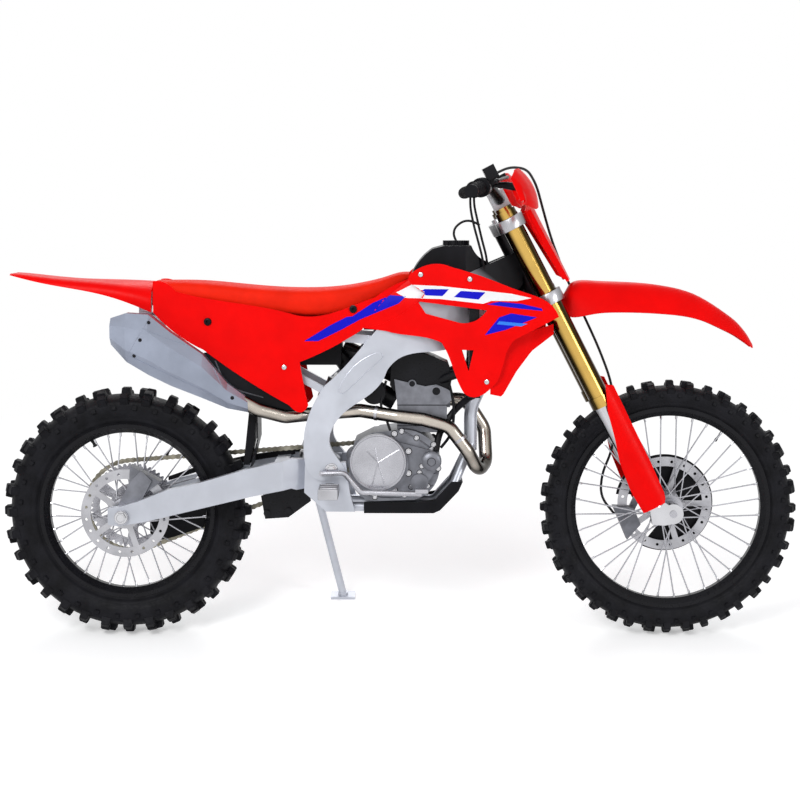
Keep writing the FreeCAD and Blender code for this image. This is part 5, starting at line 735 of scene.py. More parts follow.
def spoke_nipples(name, body, centre, seat):
    """The nipples where the spokes meet the rim's well."""
    bm = bmesh.new()
    for sign in (-1, 1):
        for i in range(SPOKES_A_SIDE):
            angle = (i + sign / 4) * 2 * math.pi / SPOKES_A_SIDE
            out = Vector((math.cos(angle), 0.0, math.sin(angle)))
            point = centre + out * (seat - NIPPLE_DEPTH) + Vector((0.0, sign * NIPPLE_SIDE, 0.0))
            lathe(bm, NIPPLE_PROFILE, aimed(point, out + Vector((0.0, sign * NIPPLE_LEAN, 0.0))), 8)
    finish_piece(name, bm, body, polished_steel())


def valve_and_lock(name, body, centre, seat):
    """The tyre's valve and the rim lock's nut, standing in from the rim."""
    bm = bmesh.new()
    for degrees, radius, length in STEMS:
        angle = math.radians(degrees)
        out = Vector((math.cos(angle), 0.0, math.sin(angle)))
        start = centre + out * (seat - STEM_DEPTH)
        lathe(bm, [(radius, 0), (radius, length * 0.3), (radius * 0.75, length * 0.32),
                   (radius * 0.75, length * 0.7), (radius * 1.15, length * 0.72),
                   (radius * 1.15, length * 0.95), (0, length)], aimed(start, -out), 12)
    finish_piece(name, bm, body, black_metal())


# Chain

CHAIN_Y = 74.0
CHAIN_PITCH = 15.875
COUNTER = (-118.0, 481.0)
REAR_SPROCKET = (REAR_AXLE.x, REAR_AXLE.z)
TEETH = (50, 13)
# Radius and half length
ROLLER = (4.8, 3.0)
PIN = (2.4, 6.6)
LINK_ROUND = 6.6
LINK_WAIST = 4.6
LINK_PLACES = (4.0, 5.4)
LINK_HALF_WALL = 0.6


def chain_line():
    """The chain's pins as places in the side view, one pitch apart, with the way it runs."""
    rear_radius = CHAIN_PITCH / 2 / math.sin(math.pi / TEETH[0])
    front_radius = CHAIN_PITCH / 2 / math.sin(math.pi / TEETH[1])
    run_x, run_z = COUNTER[0] - REAR_AXLE.x, COUNTER[1] - REAR_AXLE.z
    reach = math.hypot(run_x, run_z)
    slope = math.atan2(run_z, run_x)
    swing = math.asin((rear_radius - front_radius) / reach)
    straight = math.sqrt(reach ** 2 - (rear_radius - front_radius) ** 2)
    top = slope + math.pi / 2 - swing
    low = slope - math.pi / 2 + swing
    front_arc = (top - low) * front_radius
    rear_arc = (2 * math.pi - top + low) * rear_radius
    whole = 2 * straight + front_arc + rear_arc
    count = round(whole / CHAIN_PITCH)
    places = []
    for i in range(count):
        s = i * whole / count
        if s < front_arc:
            turn, base, radius, extra = top - s / front_radius, COUNTER, front_radius, 0.0
        elif s < front_arc + straight:
            turn, base, radius, extra = low, COUNTER, front_radius, s - front_arc
        elif s < front_arc + straight + rear_arc:
            s -= front_arc + straight
            turn, base, radius, extra = low - s / rear_radius, REAR_SPROCKET, rear_radius, 0.0
        else:
            s -= front_arc + straight + rear_arc
            turn, base, radius, extra = top, REAR_SPROCKET, rear_radius, s
        x = base[0] + radius * math.cos(turn) + extra * math.sin(turn)
        z = base[1] + radius * math.sin(turn) - extra * math.cos(turn)
        places.append(Vector((x, CHAIN_Y, z)))
    return places


def chain_links():
    """Rollers and side plates in place of the plain chain."""
    bm = bmesh.new()
    pins = chain_line()
    side = Vector((0.0, 1.0, 0.0))
    for i, pin in enumerate(pins):
        after = pins[(i + 1) % len(pins)]
        for (radius, half), steps in ((ROLLER, 10), (PIN, 8)):
            lathe(bm, [(0, -half), (radius, -half), (radius, half), (0, half)],
                  aimed(pin, side), steps)
        along = (after - pin).normalized()
        up = along.cross(side)
        length = (after - pin).length
        outline = []
        for start, first, waist in ((0.0, 90, -LINK_WAIST), (length, -90, LINK_WAIST)):
            for k in range(9):
                angle = math.radians(first + k * 180 / 8)
                outline.append((start + LINK_ROUND * math.cos(angle),
                                LINK_ROUND * math.sin(angle)))
            outline.append((length / 2, waist))
        place = Matrix.Translation(pin) @ Matrix((along, up, side)).transposed().to_4x4()
        for sign in (-1, 1):
            middle = sign * LINK_PLACES[i % 2]
            prism(bm, outline, middle - LINK_HALF_WALL, middle + LINK_HALF_WALL, place)
    piece = finish_piece("chain_links", bm, "chassis", chain_steel())
    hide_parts("drive_chain")


# Seat

SEAT_STATIONS = ((-650, 941, 968, 57), (-612, 931, 968, 79), (-513, 914, 966, 90),
                 (-342, 885, 951, 92), (-226, 871.5, 948, 90), (-137, 882.5, 954.5, 85),
                 (-55, 919, 970.5, 77), (3, 956, 988, 70), (34, 975, 990, 61))
SEAT_SECTION = ((0.97, 0.0), (1.0, 0.18), (1.0, 0.42), (0.985, 0.62), (0.95, 0.78), (0.88, 0.90),
                (0.74, 0.965), (0.5, 0.99), (0.25, 1.0), (0.0, 1.0))


def seat_pad():
    """The padded seat, shaped by stations along it, in place of the plain one."""
    lines = []
    for k in range(4):
        column = [Vector((s[0], s[k] if k else 0.0, 0.0)) for s in SEAT_STATIONS]
        lines.append(smooth_line(column, 8))
    bm = bmesh.new()
    rings = []
    for low, high, half in zip(lines[1], lines[2], lines[3]):
        height = high.y - low.y
        ring = []
        for out, rise in SEAT_SECTION:
            ring.append((half.y * out, low.y + height * rise))
        ring = ring + [(-y, z) for y, z in reversed(ring[:-1])]
        rings.append([bm.verts.new((low.x, y, z)) for y, z in ring])
    for a, b in zip(rings, rings[1:]):
        for i in range(len(a) - 1):
            bm.faces.new((a[i], a[i + 1], b[i + 1], b[i]))
        bm.faces.new((a[-1], a[0], b[0], b[-1]))
    bm.faces.new(rings[0][::-1])
    bm.faces.new(rings[-1])
    piece = finish_piece("seat_pad", bm, "chassis", seat_cover(), 60.0)
    soft = piece.modifiers.new("Soft", "SUBSURF")
    soft.levels = 1
    soft.render_levels = 1
    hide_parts("seat")


# Stripes and screws on the panels

SIDE_STRIPE = ((-246, 811), (-177, 853), (-134, 875), (-118, 877), (-65, 912), (-17, 933),
               (24, 930), (4, 911), (-44, 891), (-97, 869), (-150, 840), (-209, 811))
SHROUD_BAND = ((-2, 940), (39, 961), (115, 958), (221, 948), (300, 940), (351, 929), (314, 921),
               (248, 921), (226, 913), (115, 924), (23, 926))
SHROUD_STRIPE = ((236, 912), (268, 919), (325, 914), (378, 902), (380, 896), (325, 901))
SHROUD_INLAYS = (((49, 934), (73, 950), (137, 950), (120, 932)),
                 ((150, 930), (168, 946), (232, 943), (214, 924)))
SHROUD_FLASH = ((231, 831), (268, 878), (299, 889), (366, 879), (286, 846))
SHROUD_FLASH_BAR = ((268, 868), (341, 862), (325, 855), (262, 860))
SHROUD_SCREWS = ((63, 988), (192, 977), (237, 708))
PANEL_SCREWS = ((-300, 741),)
PANEL_PLUGS = ((-116, 896), (-504, 861))
BRIDGE_REAR = ((-112, 846, 118.6), (-86, 882, 118.8), (-62, 901, 118.8), (-36, 922, 118.8),
               (-8, 945, 118.5), (34, 981, 116.0))
BRIDGE_FRONT = ((-56, 846, 121.5), (-6, 862, 123.5), (24, 880, 127.0), (50, 908, 130.5),
                (84, 940, 131.0), (50, 992, 122.0))
BRIDGE_WALL = 2.0
PLUG_SIZE = 1.5
SIDES = ((-1, "right"), (1, "left"))


def panel_bridges():
    """The panels' fronts between the side panels and the shrouds, with the stripes over them."""
    for side, word in SIDES:
        name = "panel_bridge_" + word
        bm = bmesh.new()
        rear = smooth_line([Vector(p) for p in BRIDGE_REAR], 4)
        front = smooth_line([Vector(p) for p in BRIDGE_FRONT], 4)
        rows = []
        for a, b in zip(rear, front):
            points = [a + (b - a) * part for part in share(6)]
            rows.append([Vector((p.x, side * p.z, p.y)) for p in points])
        grid_sheet(bm, rows, BRIDGE_WALL)
        finish_piece(name, bm, "chassis", red_plastic(), 60.0)
        decal("bridge_stripe_" + word, name, SIDE_STRIPE, side,
              film("stripe_blue", colours().stripe))
        decal("bridge_band_" + word, name, SHROUD_BAND, side, film("band_white", colours().band))


def panel_marks():
    """Stripes and screws on both sides."""
    blue = film("stripe_blue", colours().stripe)
    white = film("band_white", colours().band)
    light = film("stripe_light", colours().light_stripe)
    marks = [("side_stripe_", "side_panel_", SIDE_STRIPE, blue, 1, FINE_EDGE),
             ("band_", "shroud_", SHROUD_BAND, white, 1, FILM_EDGE),
             ("stripe_", "shroud_", SHROUD_STRIPE, blue, 1, FILM_EDGE),
             ("flash_", "shroud_", SHROUD_FLASH, blue, 1, FILM_EDGE)]
    marks += [("inlay_" + str(i) + "_", "shroud_", outline, blue, 2, FILM_EDGE)
              for i, outline in enumerate(SHROUD_INLAYS)]
    marks.append(("flash_bar_", "shroud_", SHROUD_FLASH_BAR, light, 2, FILM_EDGE))
    for side, word in SIDES:
        shroud = "shroud_" + word
        panel = "side_panel_" + word
        for name, node, outline, look, layer, edge in marks:
            decal(name + word, node + word, outline, side, look, layer, edge)
        bm = bmesh.new()
        for node, places in ((shroud, SHROUD_SCREWS), (panel, PANEL_SCREWS)):
            for x, z in places:
                point, normal = surface_at(node, x, z, side)
                cap_screw(bm, point, normal, sizes().screw)
        finish_piece("panel_screws_" + word, bm, "chassis", polished_steel())
        bm = bmesh.new()
        for x, z in PANEL_PLUGS:
            point, normal = surface_at(panel, x, z, side)
            cap_screw(bm, point, normal, sizes().screw * PLUG_SIZE)
        finish_piece("panel_plugs_" + word, bm, "chassis", black_plastic())


# Shaped sheets and ridges

JUMP = 14.0


def laid_line(bm, node, points, side, radius, steps=10):
    """A fine ridge over a node's outer face, along points in the side view."""
    run = []
    for point in smooth_line([Vector((x, 0.0, z)) for x, z in points], steps):
        spot, normal = surface_at(node, point.x, point.z, side)
        if spot is None or (run and abs(spot.y - run[-1].y) > JUMP):
            if len(run) > 1:
                pipe(bm, run, radius, 6)
            run = []
        if spot is not None:
            run.append(spot)
    if len(run) > 1:
        pipe(bm, run, radius, 6)


def span_at(outline, along):
    """The lowest and highest place of a closed outline, at a place along it."""
    found = []
    for (a, b), (c, d) in zip(outline, outline[1:] + outline[:1]):
        if a != c and min(a, c) <= along <= max(a, c):
            found.append(b + (d - b) * (along - a) / (c - a))
    return min(found), max(found)


def face_number(face, count):
    """A number of its own for a face, from its three lowest vertices out of a count."""
    a, b, c = sorted(vert.index for vert in face.verts)[:3]
    return (a * count + b) * count + c


def grid_sheet(bm, rows, wall):
    """A sheet with a wall through rows of points, closed at its edges."""
    verts = [[bm.verts.new(point) for point in row] for row in rows]
    faces = []
    for low, high in zip(verts, verts[1:]):
        for i in range(len(low) - 1):
            faces.append(bm.faces.new((low[i], low[i + 1], high[i + 1], high[i])))
    bmesh.ops.recalc_face_normals(bm, faces=faces)
    bmesh.ops.solidify(bm, geom=faces, thickness=wall)
    # The edge faces come in another order on each run, so that all are sorted here
    bm.verts.index_update()
    count = len(bm.verts)
    bm.faces.sort(key=lambda face: face_number(face, count))


def share(count):
    """The shares from 0 to 1 in a count of even steps."""
    return [i / count for i in range(count + 1)]


def outline_rows(outline, start, end, rows, steps):
    """Each row's place along an outline, with the shares and places from edge to edge there."""
    for a in share(rows):
        along = start + a * (end - start)
        low, high = span_at(outline, along)
        yield along, [(b, low + b * (high - low)) for b in share(steps)]


def at_place(table, along):
    """A value between the rows of a table of places and values."""
    for (a, b), (c, d) in zip(table, table[1:]):
        if a <= along <= c:
            return b + (d - b) * (along - a) / (c - a)
    return table[0][1] if along < table[0][0] else table[-1][1]


# Guards, fender and shroud fins

LEG_GUARD_OUTLINE = [(396.0, 51.4), (389.0, 70.0), (271.0, 67.1), (168.0, 65.8), (58.0, 60.4),
                     (40.0, 49.2), (40.0, -13.2), (108.0, -17.0), (190.0, -9.4), (257.0, 8.6),
                     (328.0, 23.3)]
LEG_GUARD_PLAN = [(-18.0, 130.4), (-2.0, 139.0), (22.0, 143.2), (40.0, 141.0), (54.0, 136.8),
                  (70.0, 125.0)]
LEG_GUARD_ENDS = (40.5, 395.5)
LEG_GUARD_WALL = 2.5


def leg_guards():
    """The fork's lower guards, cut back at the top so that the bright tubes show."""
    bm = bmesh.new()
    for sign in (-1, 1):
        rows = [[fork_point(ahead, sign * at_place(LEG_GUARD_PLAN, ahead), up) for _, ahead in row]
                for up, row in outline_rows(LEG_GUARD_OUTLINE, *LEG_GUARD_ENDS, 28, 12)]
        grid_sheet(bm, rows, LEG_GUARD_WALL)
    piece = finish_piece("leg_guards", bm, "steering", red_plastic(), 50.0)
    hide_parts("fork_guards")


HAND_GUARD_OUTLINE = [(196.0, 927.0), (218.0, 904.0), (361.0, 898.0), (416.0, 927.0),
                      (412.0, 995.0), (372.0, 1012.0), (262.0, 1003.0), (207.0, 966.0)]
HAND_GUARD_PLAN = [(196.0, 88.0), (230.0, 98.0), (270.0, 105.0), (306.0, 108.0), (340.0, 104.0),
                   (380.0, 90.0), (416.0, 68.0)]
HAND_GUARD_ENDS = (196.5, 415.5)
HAND_GUARD_BOW = 12.0
HAND_GUARD_WALL = 2.5
GUARD_ARM = ((8.0, 190.0, 1006.0), (50.0, 194.0, 988.0), (86.0, 208.0, 962.0), (97.0, 232.0, 955.0))
GUARD_ARM_RADIUS = 7.0
GUARD_CLAMP = ((17.5, -8), (17.5, 8), (10.0, 8), (10.0, -8))


def hand_guards():
    """Bowed guards ahead of the grips, each on a black arm from the bar."""
    bm = bmesh.new()
    arms = bmesh.new()
    for sign in (-1, 1):
        rows = [[fork_point(at_place(HAND_GUARD_PLAN, side) - HAND_GUARD_BOW * (2 * b - 1) ** 2,
                            sign * side, up) for b, up in row]
                for side, row in outline_rows(HAND_GUARD_OUTLINE, *HAND_GUARD_ENDS, 26, 10)]
        grid_sheet(bm, rows, HAND_GUARD_WALL)
        line = [fork_point(a, sign * b, c) for a, b, c in GUARD_ARM]
        pipe(arms, smooth_line(line, 8), GUARD_ARM_RADIUS)
        lathe(arms, GUARD_CLAMP, aimed(line[0], (0.0, 1.0, 0.0)), closed=True)
    piece = finish_piece("hand_guard_shells", bm, "steering", red_plastic(), 50.0)
    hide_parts("handguards")
    finish_piece("hand_guard_arms", arms, "steering", black_plastic())


FENDER_STATIONS = ((384.0, 895.0, 875.5, 64.0), (442.0, 922.0, 879.0, 65.0),
                   (476.0, 964.5, 872.0, 70.0), (557.0, 965.5, 884.5, 74.0),
                   (689.0, 957.5, 882.5, 72.5), (799.0, 932.0, 868.0, 63.5),
                   (897.0, 872.0, 827.0, 47.0), (938.0, 832.0, 803.0, 36.0),
                   (960.0, 797.5, 787.0, 22.0))
FENDER_WALL = 3.5
FENDER_SECTION_POWER = 2.6
FENDER_BOSS = ((0, 0), (16.0, 0), (16.0, 36.0), (0, 36.0))
FENDER_BOSS_UP = 614.0


def beak_fender():
    """The long front fender, an arched sheet that narrows to its tip."""
    lines = []
    for k in range(1, 4):
        lines.append(smooth_line([Vector((s[0], s[k], 0.0)) for s in FENDER_STATIONS], 6))
    bm = bmesh.new()
    rows = []
    for top, low, half in zip(*lines):
        row = []
        for b in share(24):
            side = 2 * b - 1
            crown = low.y + (top.y - low.y) * (1 - abs(side) ** FENDER_SECTION_POWER)
            row.append(Vector((top.x, side * half.y, crown)))
        rows.append(row)
    grid_sheet(bm, rows, FENDER_WALL)
    lathe(bm, FENDER_BOSS, aimed(fork_point(CLAMP_OFFSET, 0.0, FENDER_BOSS_UP), STEER_UP))
    piece = finish_piece("beak_fender", bm, "steering", red_plastic(), 50.0)
    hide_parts("front_fender")


FIN_OUTLINE = [(246.0, 675.0), (246.0, 772.0), (269.0, 814.0), (315.0, 826.0), (413.0, 859.0),
               (413.0, 832.0), (355.0, 787.0), (315.0, 734.0), (277.0, 668.0)]
FIN_PLAN = [(244.0, 175.0), (300.0, 162.0), (360.0, 149.0), (415.0, 149.0)]
FIN_ENDS = (246.5, 412.5)
FIN_WALL = 3.0


def shroud_fins():
    """The fins behind the shrouds' front edges, bent inward to lead air to the radiators."""
    bm = bmesh.new()
    for sign in (-1, 1):
        rows = [[Vector((x, sign * at_place(FIN_PLAN, x), z)) for _, z in row]
                for x, row in outline_rows(FIN_OUTLINE, *FIN_ENDS, 24, 10)]
        grid_sheet(bm, rows, FIN_WALL)
    finish_piece("shroud_fins", bm, "chassis", red_plastic(), 50.0)


LOUVRE_SECTION = ((222.0, 0.0), (224.0, 0.0), (236.0, -7.0), (234.0, -7.0))
LOUVRE_ENDS = (86.0, 144.0)
LOUVRE_COUNT = 14
LOUVRE_LOW_Z = 682.0
LOUVRE_PITCH = 16.5


def radiator_louvres():
    """The slatted grilles ahead of the radiators, in black as painted shade for the dark radiators behind the
    shrouds.
    """
    # The grilles are real parts; their black is painted shade
    bm = bmesh.new()
    for sign in (-1, 1):
        for i in range(LOUVRE_COUNT):
            z = LOUVRE_LOW_Z + i * LOUVRE_PITCH
            side_prism(bm, [(x, z + rise) for x, rise in LOUVRE_SECTION],
                       *sorted(sign * end for end in LOUVRE_ENDS))
    finish_piece("radiator_louvres", bm, "chassis", black_plastic())


SKID_OUTLINE = ((-90.0, 342.0), (98.0, 342.0), (116.0, 350.0), (165.5, 402.0), (177.0, 428.0),
                (146.0, 428.0), (104.0, 381.0), (54.0, 373.0), (-90.0, 373.0))
SKID_WALLS = ((-78.0, -75.0), (75.0, 78.0))


def skid_walls():
    """The low walls at the sides of the skid plate."""
    bm = bmesh.new()
    for low, high in SKID_WALLS:
        side_prism(bm, SKID_OUTLINE, low, high)
    finish_piece("skid_walls", bm, "chassis", black_plastic())


PLATE_WING = ((331.0, 1145.0), (352.0, 1160.0), (458.0, 968.0), (436.0, 978.0))
PLATE_WINGS = ((-99.0, -96.0), (96.0, 99.0))
CHAIN_SLIDER = ((-270.0, 500.0), (-420.0, 477.0), (-560.0, 445.0), (-640.0, 417.0),
                (-640.0, 406.0), (-560.0, 430.0), (-420.0, 460.0), (-270.0, 484.0))
CHAIN_SLIDER_SIDES = (84.0, 96.0)
FLAP_CORE = ((-402.0, 614.0), (-382.0, 614.0), (-388.0, 532.0), (-402.0, 468.0), (-418.0, 468.0))
FLAP_CORE_HALF = 40.0


def side_plates():
    """The number plate's side returns, the chain slider's rail and the mud flap's core."""
    bm = bmesh.new()
    for low, high in PLATE_WINGS:
        side_prism(bm, PLATE_WING, low, high)
    finish_piece("plate_wings", bm, "steering", red_plastic())
    bm = bmesh.new()
    side_prism(bm, CHAIN_SLIDER, *CHAIN_SLIDER_SIDES)
    side_prism(bm, FLAP_CORE, -FLAP_CORE_HALF, FLAP_CORE_HALF)
    finish_piece("slider_and_flap", bm, "chassis", black_plastic())


SPAR_RELIEF = [(-151.0, 674.0), (-119.0, 714.0), (-82.0, 749.0), (-40.0, 776.0)]
SPAR_RELIEF_HALF = 17.0
SPAR_RELIEF_RADIUS = 1.3
PIVOT_NUTS = ((-175.0, 467.0, "swingarm"), (REAR_AXLE.x, REAR_AXLE.z, "rear_axle"))
PIVOT_NUT_RADIUS = 14.0
# How far ahead of a nut's middle its seat is looked up
NUT_PROBE = 2.0


def frame_relief():
    """The long rounded relief on each spar, and the nuts at the pivot and the rear axle."""
    bm = bmesh.new()
    line = smooth_line([Vector((x, 0.0, z)) for x, z in SPAR_RELIEF], 6)
    upper = []
    lower = []
    for i, point in enumerate(line):
        ahead = (line[min(i + 1, len(line) - 1)] - line[max(i - 1, 0)]).normalized()
        taper = math.sqrt(math.sin(math.pi * (i + 0.6) / (len(line) + 0.2)))
        across = Vector((-ahead.z, 0.0, ahead.x)) * SPAR_RELIEF_HALF * taper
        for edge, place in ((upper, point + across), (lower, point - across)):
            edge.append((place.x, place.z))
    ring = upper + lower[::-1] + upper[:1]
    for side in (-1, 1):
        laid_line(bm, "main_frame", ring, side, SPAR_RELIEF_RADIUS, 2)
    finish_piece("spar_relief", bm, "chassis", frame_metal())
    nuts = bmesh.new()
    for x, z, node in PIVOT_NUTS:
        for side in (-1, 1):
            spot = outermost((node, "main_frame"), x + NUT_PROBE, z, side)
            if spot is not None:
                hex_bolt(nuts, Vector((x, spot.y, z)), (0.0, float(side), 0.0), PIVOT_NUT_RADIUS)
    finish_piece("pivot_nuts", nuts, "chassis", polished_steel())


# Silencer

SILENCER_CREASES = (((-670.0, 848.0), (-596.0, 817.0), (-512.0, 777.0), (-460.0, 690.0)),
                    ((-701.0, 773.0), (-569.0, 709.0), (-430.0, 645.0)),
                    ((-644.0, 884.0), (-672.0, 840.0), (-706.0, 782.0)))
SILENCER_RIVETS = ((-654.0, 862.0), (-675.0, 817.0), (-692.0, 775.0), (-436.0, 662.0))
GUARD_RELIEF = ((-486.0, 757.0), (-450.0, 690.0), (-358.0, 658.0))
CREASE_RADIUS = 1.1
GUARD_RELIEF_RADIUS = 2.0
RIVET_PROFILE = ((5.0, -1.0), (5.0, 1.0), (3.6, 2.6), (0, 3.0))
# Place on the header and the way it runs there
HEADER_BANDS = (((-56.0, -74.0, 613.8), (-1.0, 0.16, 0.14)),
                ((168.0, -82.4, 543.7), (0.57, 0.01, -0.82)))
BAND_PROFILE = ((18.0, -4.5), (19.9, -4.0), (19.9, 4.0), (18.0, 4.5))


def silencer_trim():
    """The silencer's creases and rivets, the relief on its heat guard, the header's bands."""
    bm = bmesh.new()
    for line in SILENCER_CREASES:
        laid_line(bm, "silencer", line, -1, CREASE_RADIUS)
    finish_piece("silencer_creases", bm, "chassis", silencer_metal())
    bm = bmesh.new()
    for x, z in SILENCER_RIVETS:
        spot, normal = surface_at("silencer", x, z, -1)
        if spot is not None:
            lathe(bm, RIVET_PROFILE, aimed(spot, normal), 14)
    finish_piece("silencer_rivets", bm, "chassis", black_metal())
    bm = bmesh.new()
    laid_line(bm, "heat_guard", GUARD_RELIEF, -1, GUARD_RELIEF_RADIUS)
    finish_piece("heat_guard_relief", bm, "chassis", cast_metal())
    bm = bmesh.new()
    for point, along in HEADER_BANDS:
        lathe(bm, BAND_PROFILE, aimed(Vector(point), along), closed=True)
    finish_piece("header_bands", bm, "chassis", brushed_steel())


# Engine

LID_CENTRE = Vector((-51.0, -114.0, 486.0))
LID_REACH = 70.0
LID_FOOT = -14.0
LID_CROWN = 4.2
LID_EDGE = 1.6
LID_RIM = ((LID_REACH, LID_FOOT), (LID_REACH, 3.4), (LID_REACH + 1.2, 4.6),
           (LID_REACH + 4.5, 4.6), (LID_REACH + 5.8, 3.2), (LID_REACH + 5.8, LID_FOOT))
LID_RIDGES = ((-29.0, 30.0), (-8.0, 40.0), (56.0, 34.0), (17.0, -58.0), (-16.0, -64.0))
LID_RIDGE_RADIUS = 1.5


def clutch_lid():
    """The clutch cover's lid: a shallow cone with cast ridges, in a raised rim."""
    bm = bmesh.new()
    place = aimed(LID_CENTRE, (0.0, -1.0, 0.0))
    lathe(bm, [(0, LID_FOOT), (LID_REACH, LID_FOOT), (LID_REACH, LID_EDGE), (0, LID_CROWN)],
          place, 96)
    lathe(bm, LID_RIM, place, 96, closed=True)
    peak = LID_CENTRE - Vector((0.0, LID_CROWN, 0.0))
    for x, z in LID_RIDGES:
        fall = (LID_CROWN - LID_EDGE) * math.hypot(x, z) / LID_REACH
        pipe(bm, [peak, peak + Vector((x, fall, z))], LID_RIDGE_RADIUS, 8)
    finish_piece("clutch_lid", bm, "chassis", machined_metal())


def round_places(x, z, radius, count, first):
    """Places in the side view, evenly round a centre from a first angle in degrees."""
    turns = [math.radians(first + i * 360 / count) for i in range(count)]
    return [(x + radius * math.cos(turn), z + radius * math.sin(turn)) for turn in turns]


PUMP_CENTRE = (92.0, 488.0)
COVER_BOLTS = round_places(-51.0, 484.0, 87.0, 9, 20)
PUMP_BOLTS = round_places(*PUMP_CENTRE, 30.0, 3, 90) + round_places(60.0, 430.0, 26.0, 3, 90)
CASE_BOLTS = ((-112.0, 556.0), (-70.0, 566.0), (12.0, 566.0), (52.0, 548.0), (98.0, 530.0),
              (110.0, 470.0), (104.0, 416.0), (20.0, 392.0), (-60.0, 388.0), (-112.0, 404.0))
MAGNETO_BOLTS = round_places(30.0, 462.0, 54.0, 7, 0)


def engine_bolts():
    """The bolts round the engine's covers, each in a dark seat."""
    bolts = bmesh.new()
    seats = bmesh.new()
    radius = sizes().bolt
    for places, side, size, nodes in (
            (COVER_BOLTS, -1, 1.0, ("clutch_cover", "engine_cases")),
            (PUMP_BOLTS, -1, 0.8, ("clutch_cover", "engine_cases")),
            (CASE_BOLTS, -1, 0.9, ("clutch_cover", "engine_cases")),
            (CASE_BOLTS, 1, 0.9, ("engine_cases",)), (MAGNETO_BOLTS, 1, 1.0, ("engine_cases",))):
        for x, z in places:
            spot = outermost(nodes, x, z, side)
            if spot is not None:
                axis = (0.0, float(side), 0.0)
                lathe(seats, [(radius * size * 1.6, -0.5), (radius * size * 1.6, 0.4), (0, 0.4)],
                      aimed(spot, axis))
                hex_bolt(bolts, spot, axis, radius * size)
    finish_piece("engine_bolts", bolts, "chassis", polished_steel())
    finish_piece("bolt_seats", seats, "chassis", black_metal())


CASE_RIBS = (((-118.0, 548.0), (-60.0, 572.0), (16.0, 566.0)),
             ((16.0, 566.0), (62.0, 540.0), (108.0, 508.0)),
             ((-118.0, 404.0), (-50.0, 386.0), (40.0, 390.0), (106.0, 424.0)),
             ((34.0, 520.0), (70.0, 514.0), (104.0, 520.0)),
             ((108.0, 452.0), (84.0, 448.0), (40.0, 452.0)))
HEAD_CASTING = ((-8.0, 704.0), (40.0, 693.0), (75.0, 685.0), (105.0, 690.0), (134.0, 678.0),
                (148.0, 668.0), (147.0, 648.0), (134.0, 636.0), (0.0, 636.0))
CASE_RIB_RADIUS = 2.6
PUMP_CAP = ((25.0, -2.0), (25.0, 4.0), (21.0, 7.0), (12.0, 8.0), (10.0, 12.0), (0, 12.0))
HEAD_FACE = 63.0
HEAD_INNER = 53.0
HEAD_EYES = ((40.0, 692.0, 11.0), (105.0, 672.0, 15.0))
GASKET = ((-0.8, -60.8), (134.8, -60.8), (134.8, 60.8), (-0.8, 60.8))
GASKET_PLACES = (578.0, 634.0)
GASKET_HALF = 1.0


def engine_castings():
    """Ribs on the cases, the pump's cap, the gasket lines and the cylinder's bosses, with black discs in the
    bosses' holes as painted shade.
    """
    bm = bmesh.new()
    for side in (-1, 1):
        for line in CASE_RIBS:
            laid_line(bm, "engine_cases", line, side, CASE_RIB_RADIUS)
    spot, _ = surface_at("clutch_cover", *PUMP_CENTRE, -1)
    lathe(bm, PUMP_CAP, aimed(spot, (0.0, -1.0, 0.0)), 32)
    boss_shade_and_gaskets = bmesh.new()
    for side in (-1, 1):
        side_prism(bm, HEAD_CASTING, *sorted((side * HEAD_INNER, side * HEAD_FACE)))
        for x, z, r in HEAD_EYES:
            place = aimed(Vector((x, side * HEAD_FACE, z)), (0.0, float(side), 0.0))
            lathe(bm, [(r, -8.0), (r, 2.0), (r * 0.72, 2.0), (r * 0.72, -8.0)], place, 24, closed=True)
            # A black disc just below each boss's rim: painted shade for the depth of its hole
            lathe(boss_shade_and_gaskets, [(0, -8.0), (r * 0.7, -8.0), (r * 0.7, 0.8), (0, 0.8)], place, 24)
    finish_piece("engine_castings", bm, "chassis", cast_metal())
    for z in GASKET_PLACES:
        prism(boss_shade_and_gaskets, GASKET, z - GASKET_HALF, z + GASKET_HALF, Matrix.Identity(4))
    finish_piece("gasket_lines", boss_shade_and_gaskets, "chassis", black_metal())


PUMP_HOSE = ((104.0, -84.0, 512.0), (116.0, -60.0, 560.0), (150.0, -46.0, 612.0),
             (184.0, -70.0, 648.0), (204.0, -98.0, 664.0))
TOP_HOSE = ((118.0, 44.0, 700.0), (150.0, 62.0, 716.0), (196.0, 92.0, 730.0))
INTAKE = ((-6.0, 0.0, 640.0), (-62.0, 0.0, 672.0), (-116.0, 0.0, 716.0), (-156.0, 0.0, 768.0))
REAR_WIRE = ((-30.0, -58.0, 700.0), (-44.0, -66.0, 640.0), (-30.0, -78.0, 600.0),
             (-16.0, -80.0, 560.0))
FRONT_WIRE = ((140.0, -58.0, 690.0), (152.0, -62.0, 630.0), (146.0, -50.0, 560.0),
              (118.0, -70.0, 520.0))
VENT = ((158.0, 0.0, 1074.0), (152.0, 0.0, 1092.0), (157.0, 0.0, 1110.0), (176.0, 0.0, 1125.0),
        (198.0, 0.0, 1127.0), (222.0, 0.0, 1116.0))
HOSES = ((VENT, 3.2), (PUMP_HOSE, 9.0), (TOP_HOSE, 13.0),
         ([(x, -y, z) for x, y, z in TOP_HOSE], 13.0), (INTAKE, 27.0), (REAR_WIRE, 3.5),
         (FRONT_WIRE, 4.0))
THROTTLE_BODY_PLACE = (-62.0, -66.0, 668.0)
THROTTLE_BODY = ((0, 0), (30.0, 0), (32.0, 2.5), (32.0, 11.0), (27.0, 13.0), (27.0, 44.0),
                 (0, 44.0))


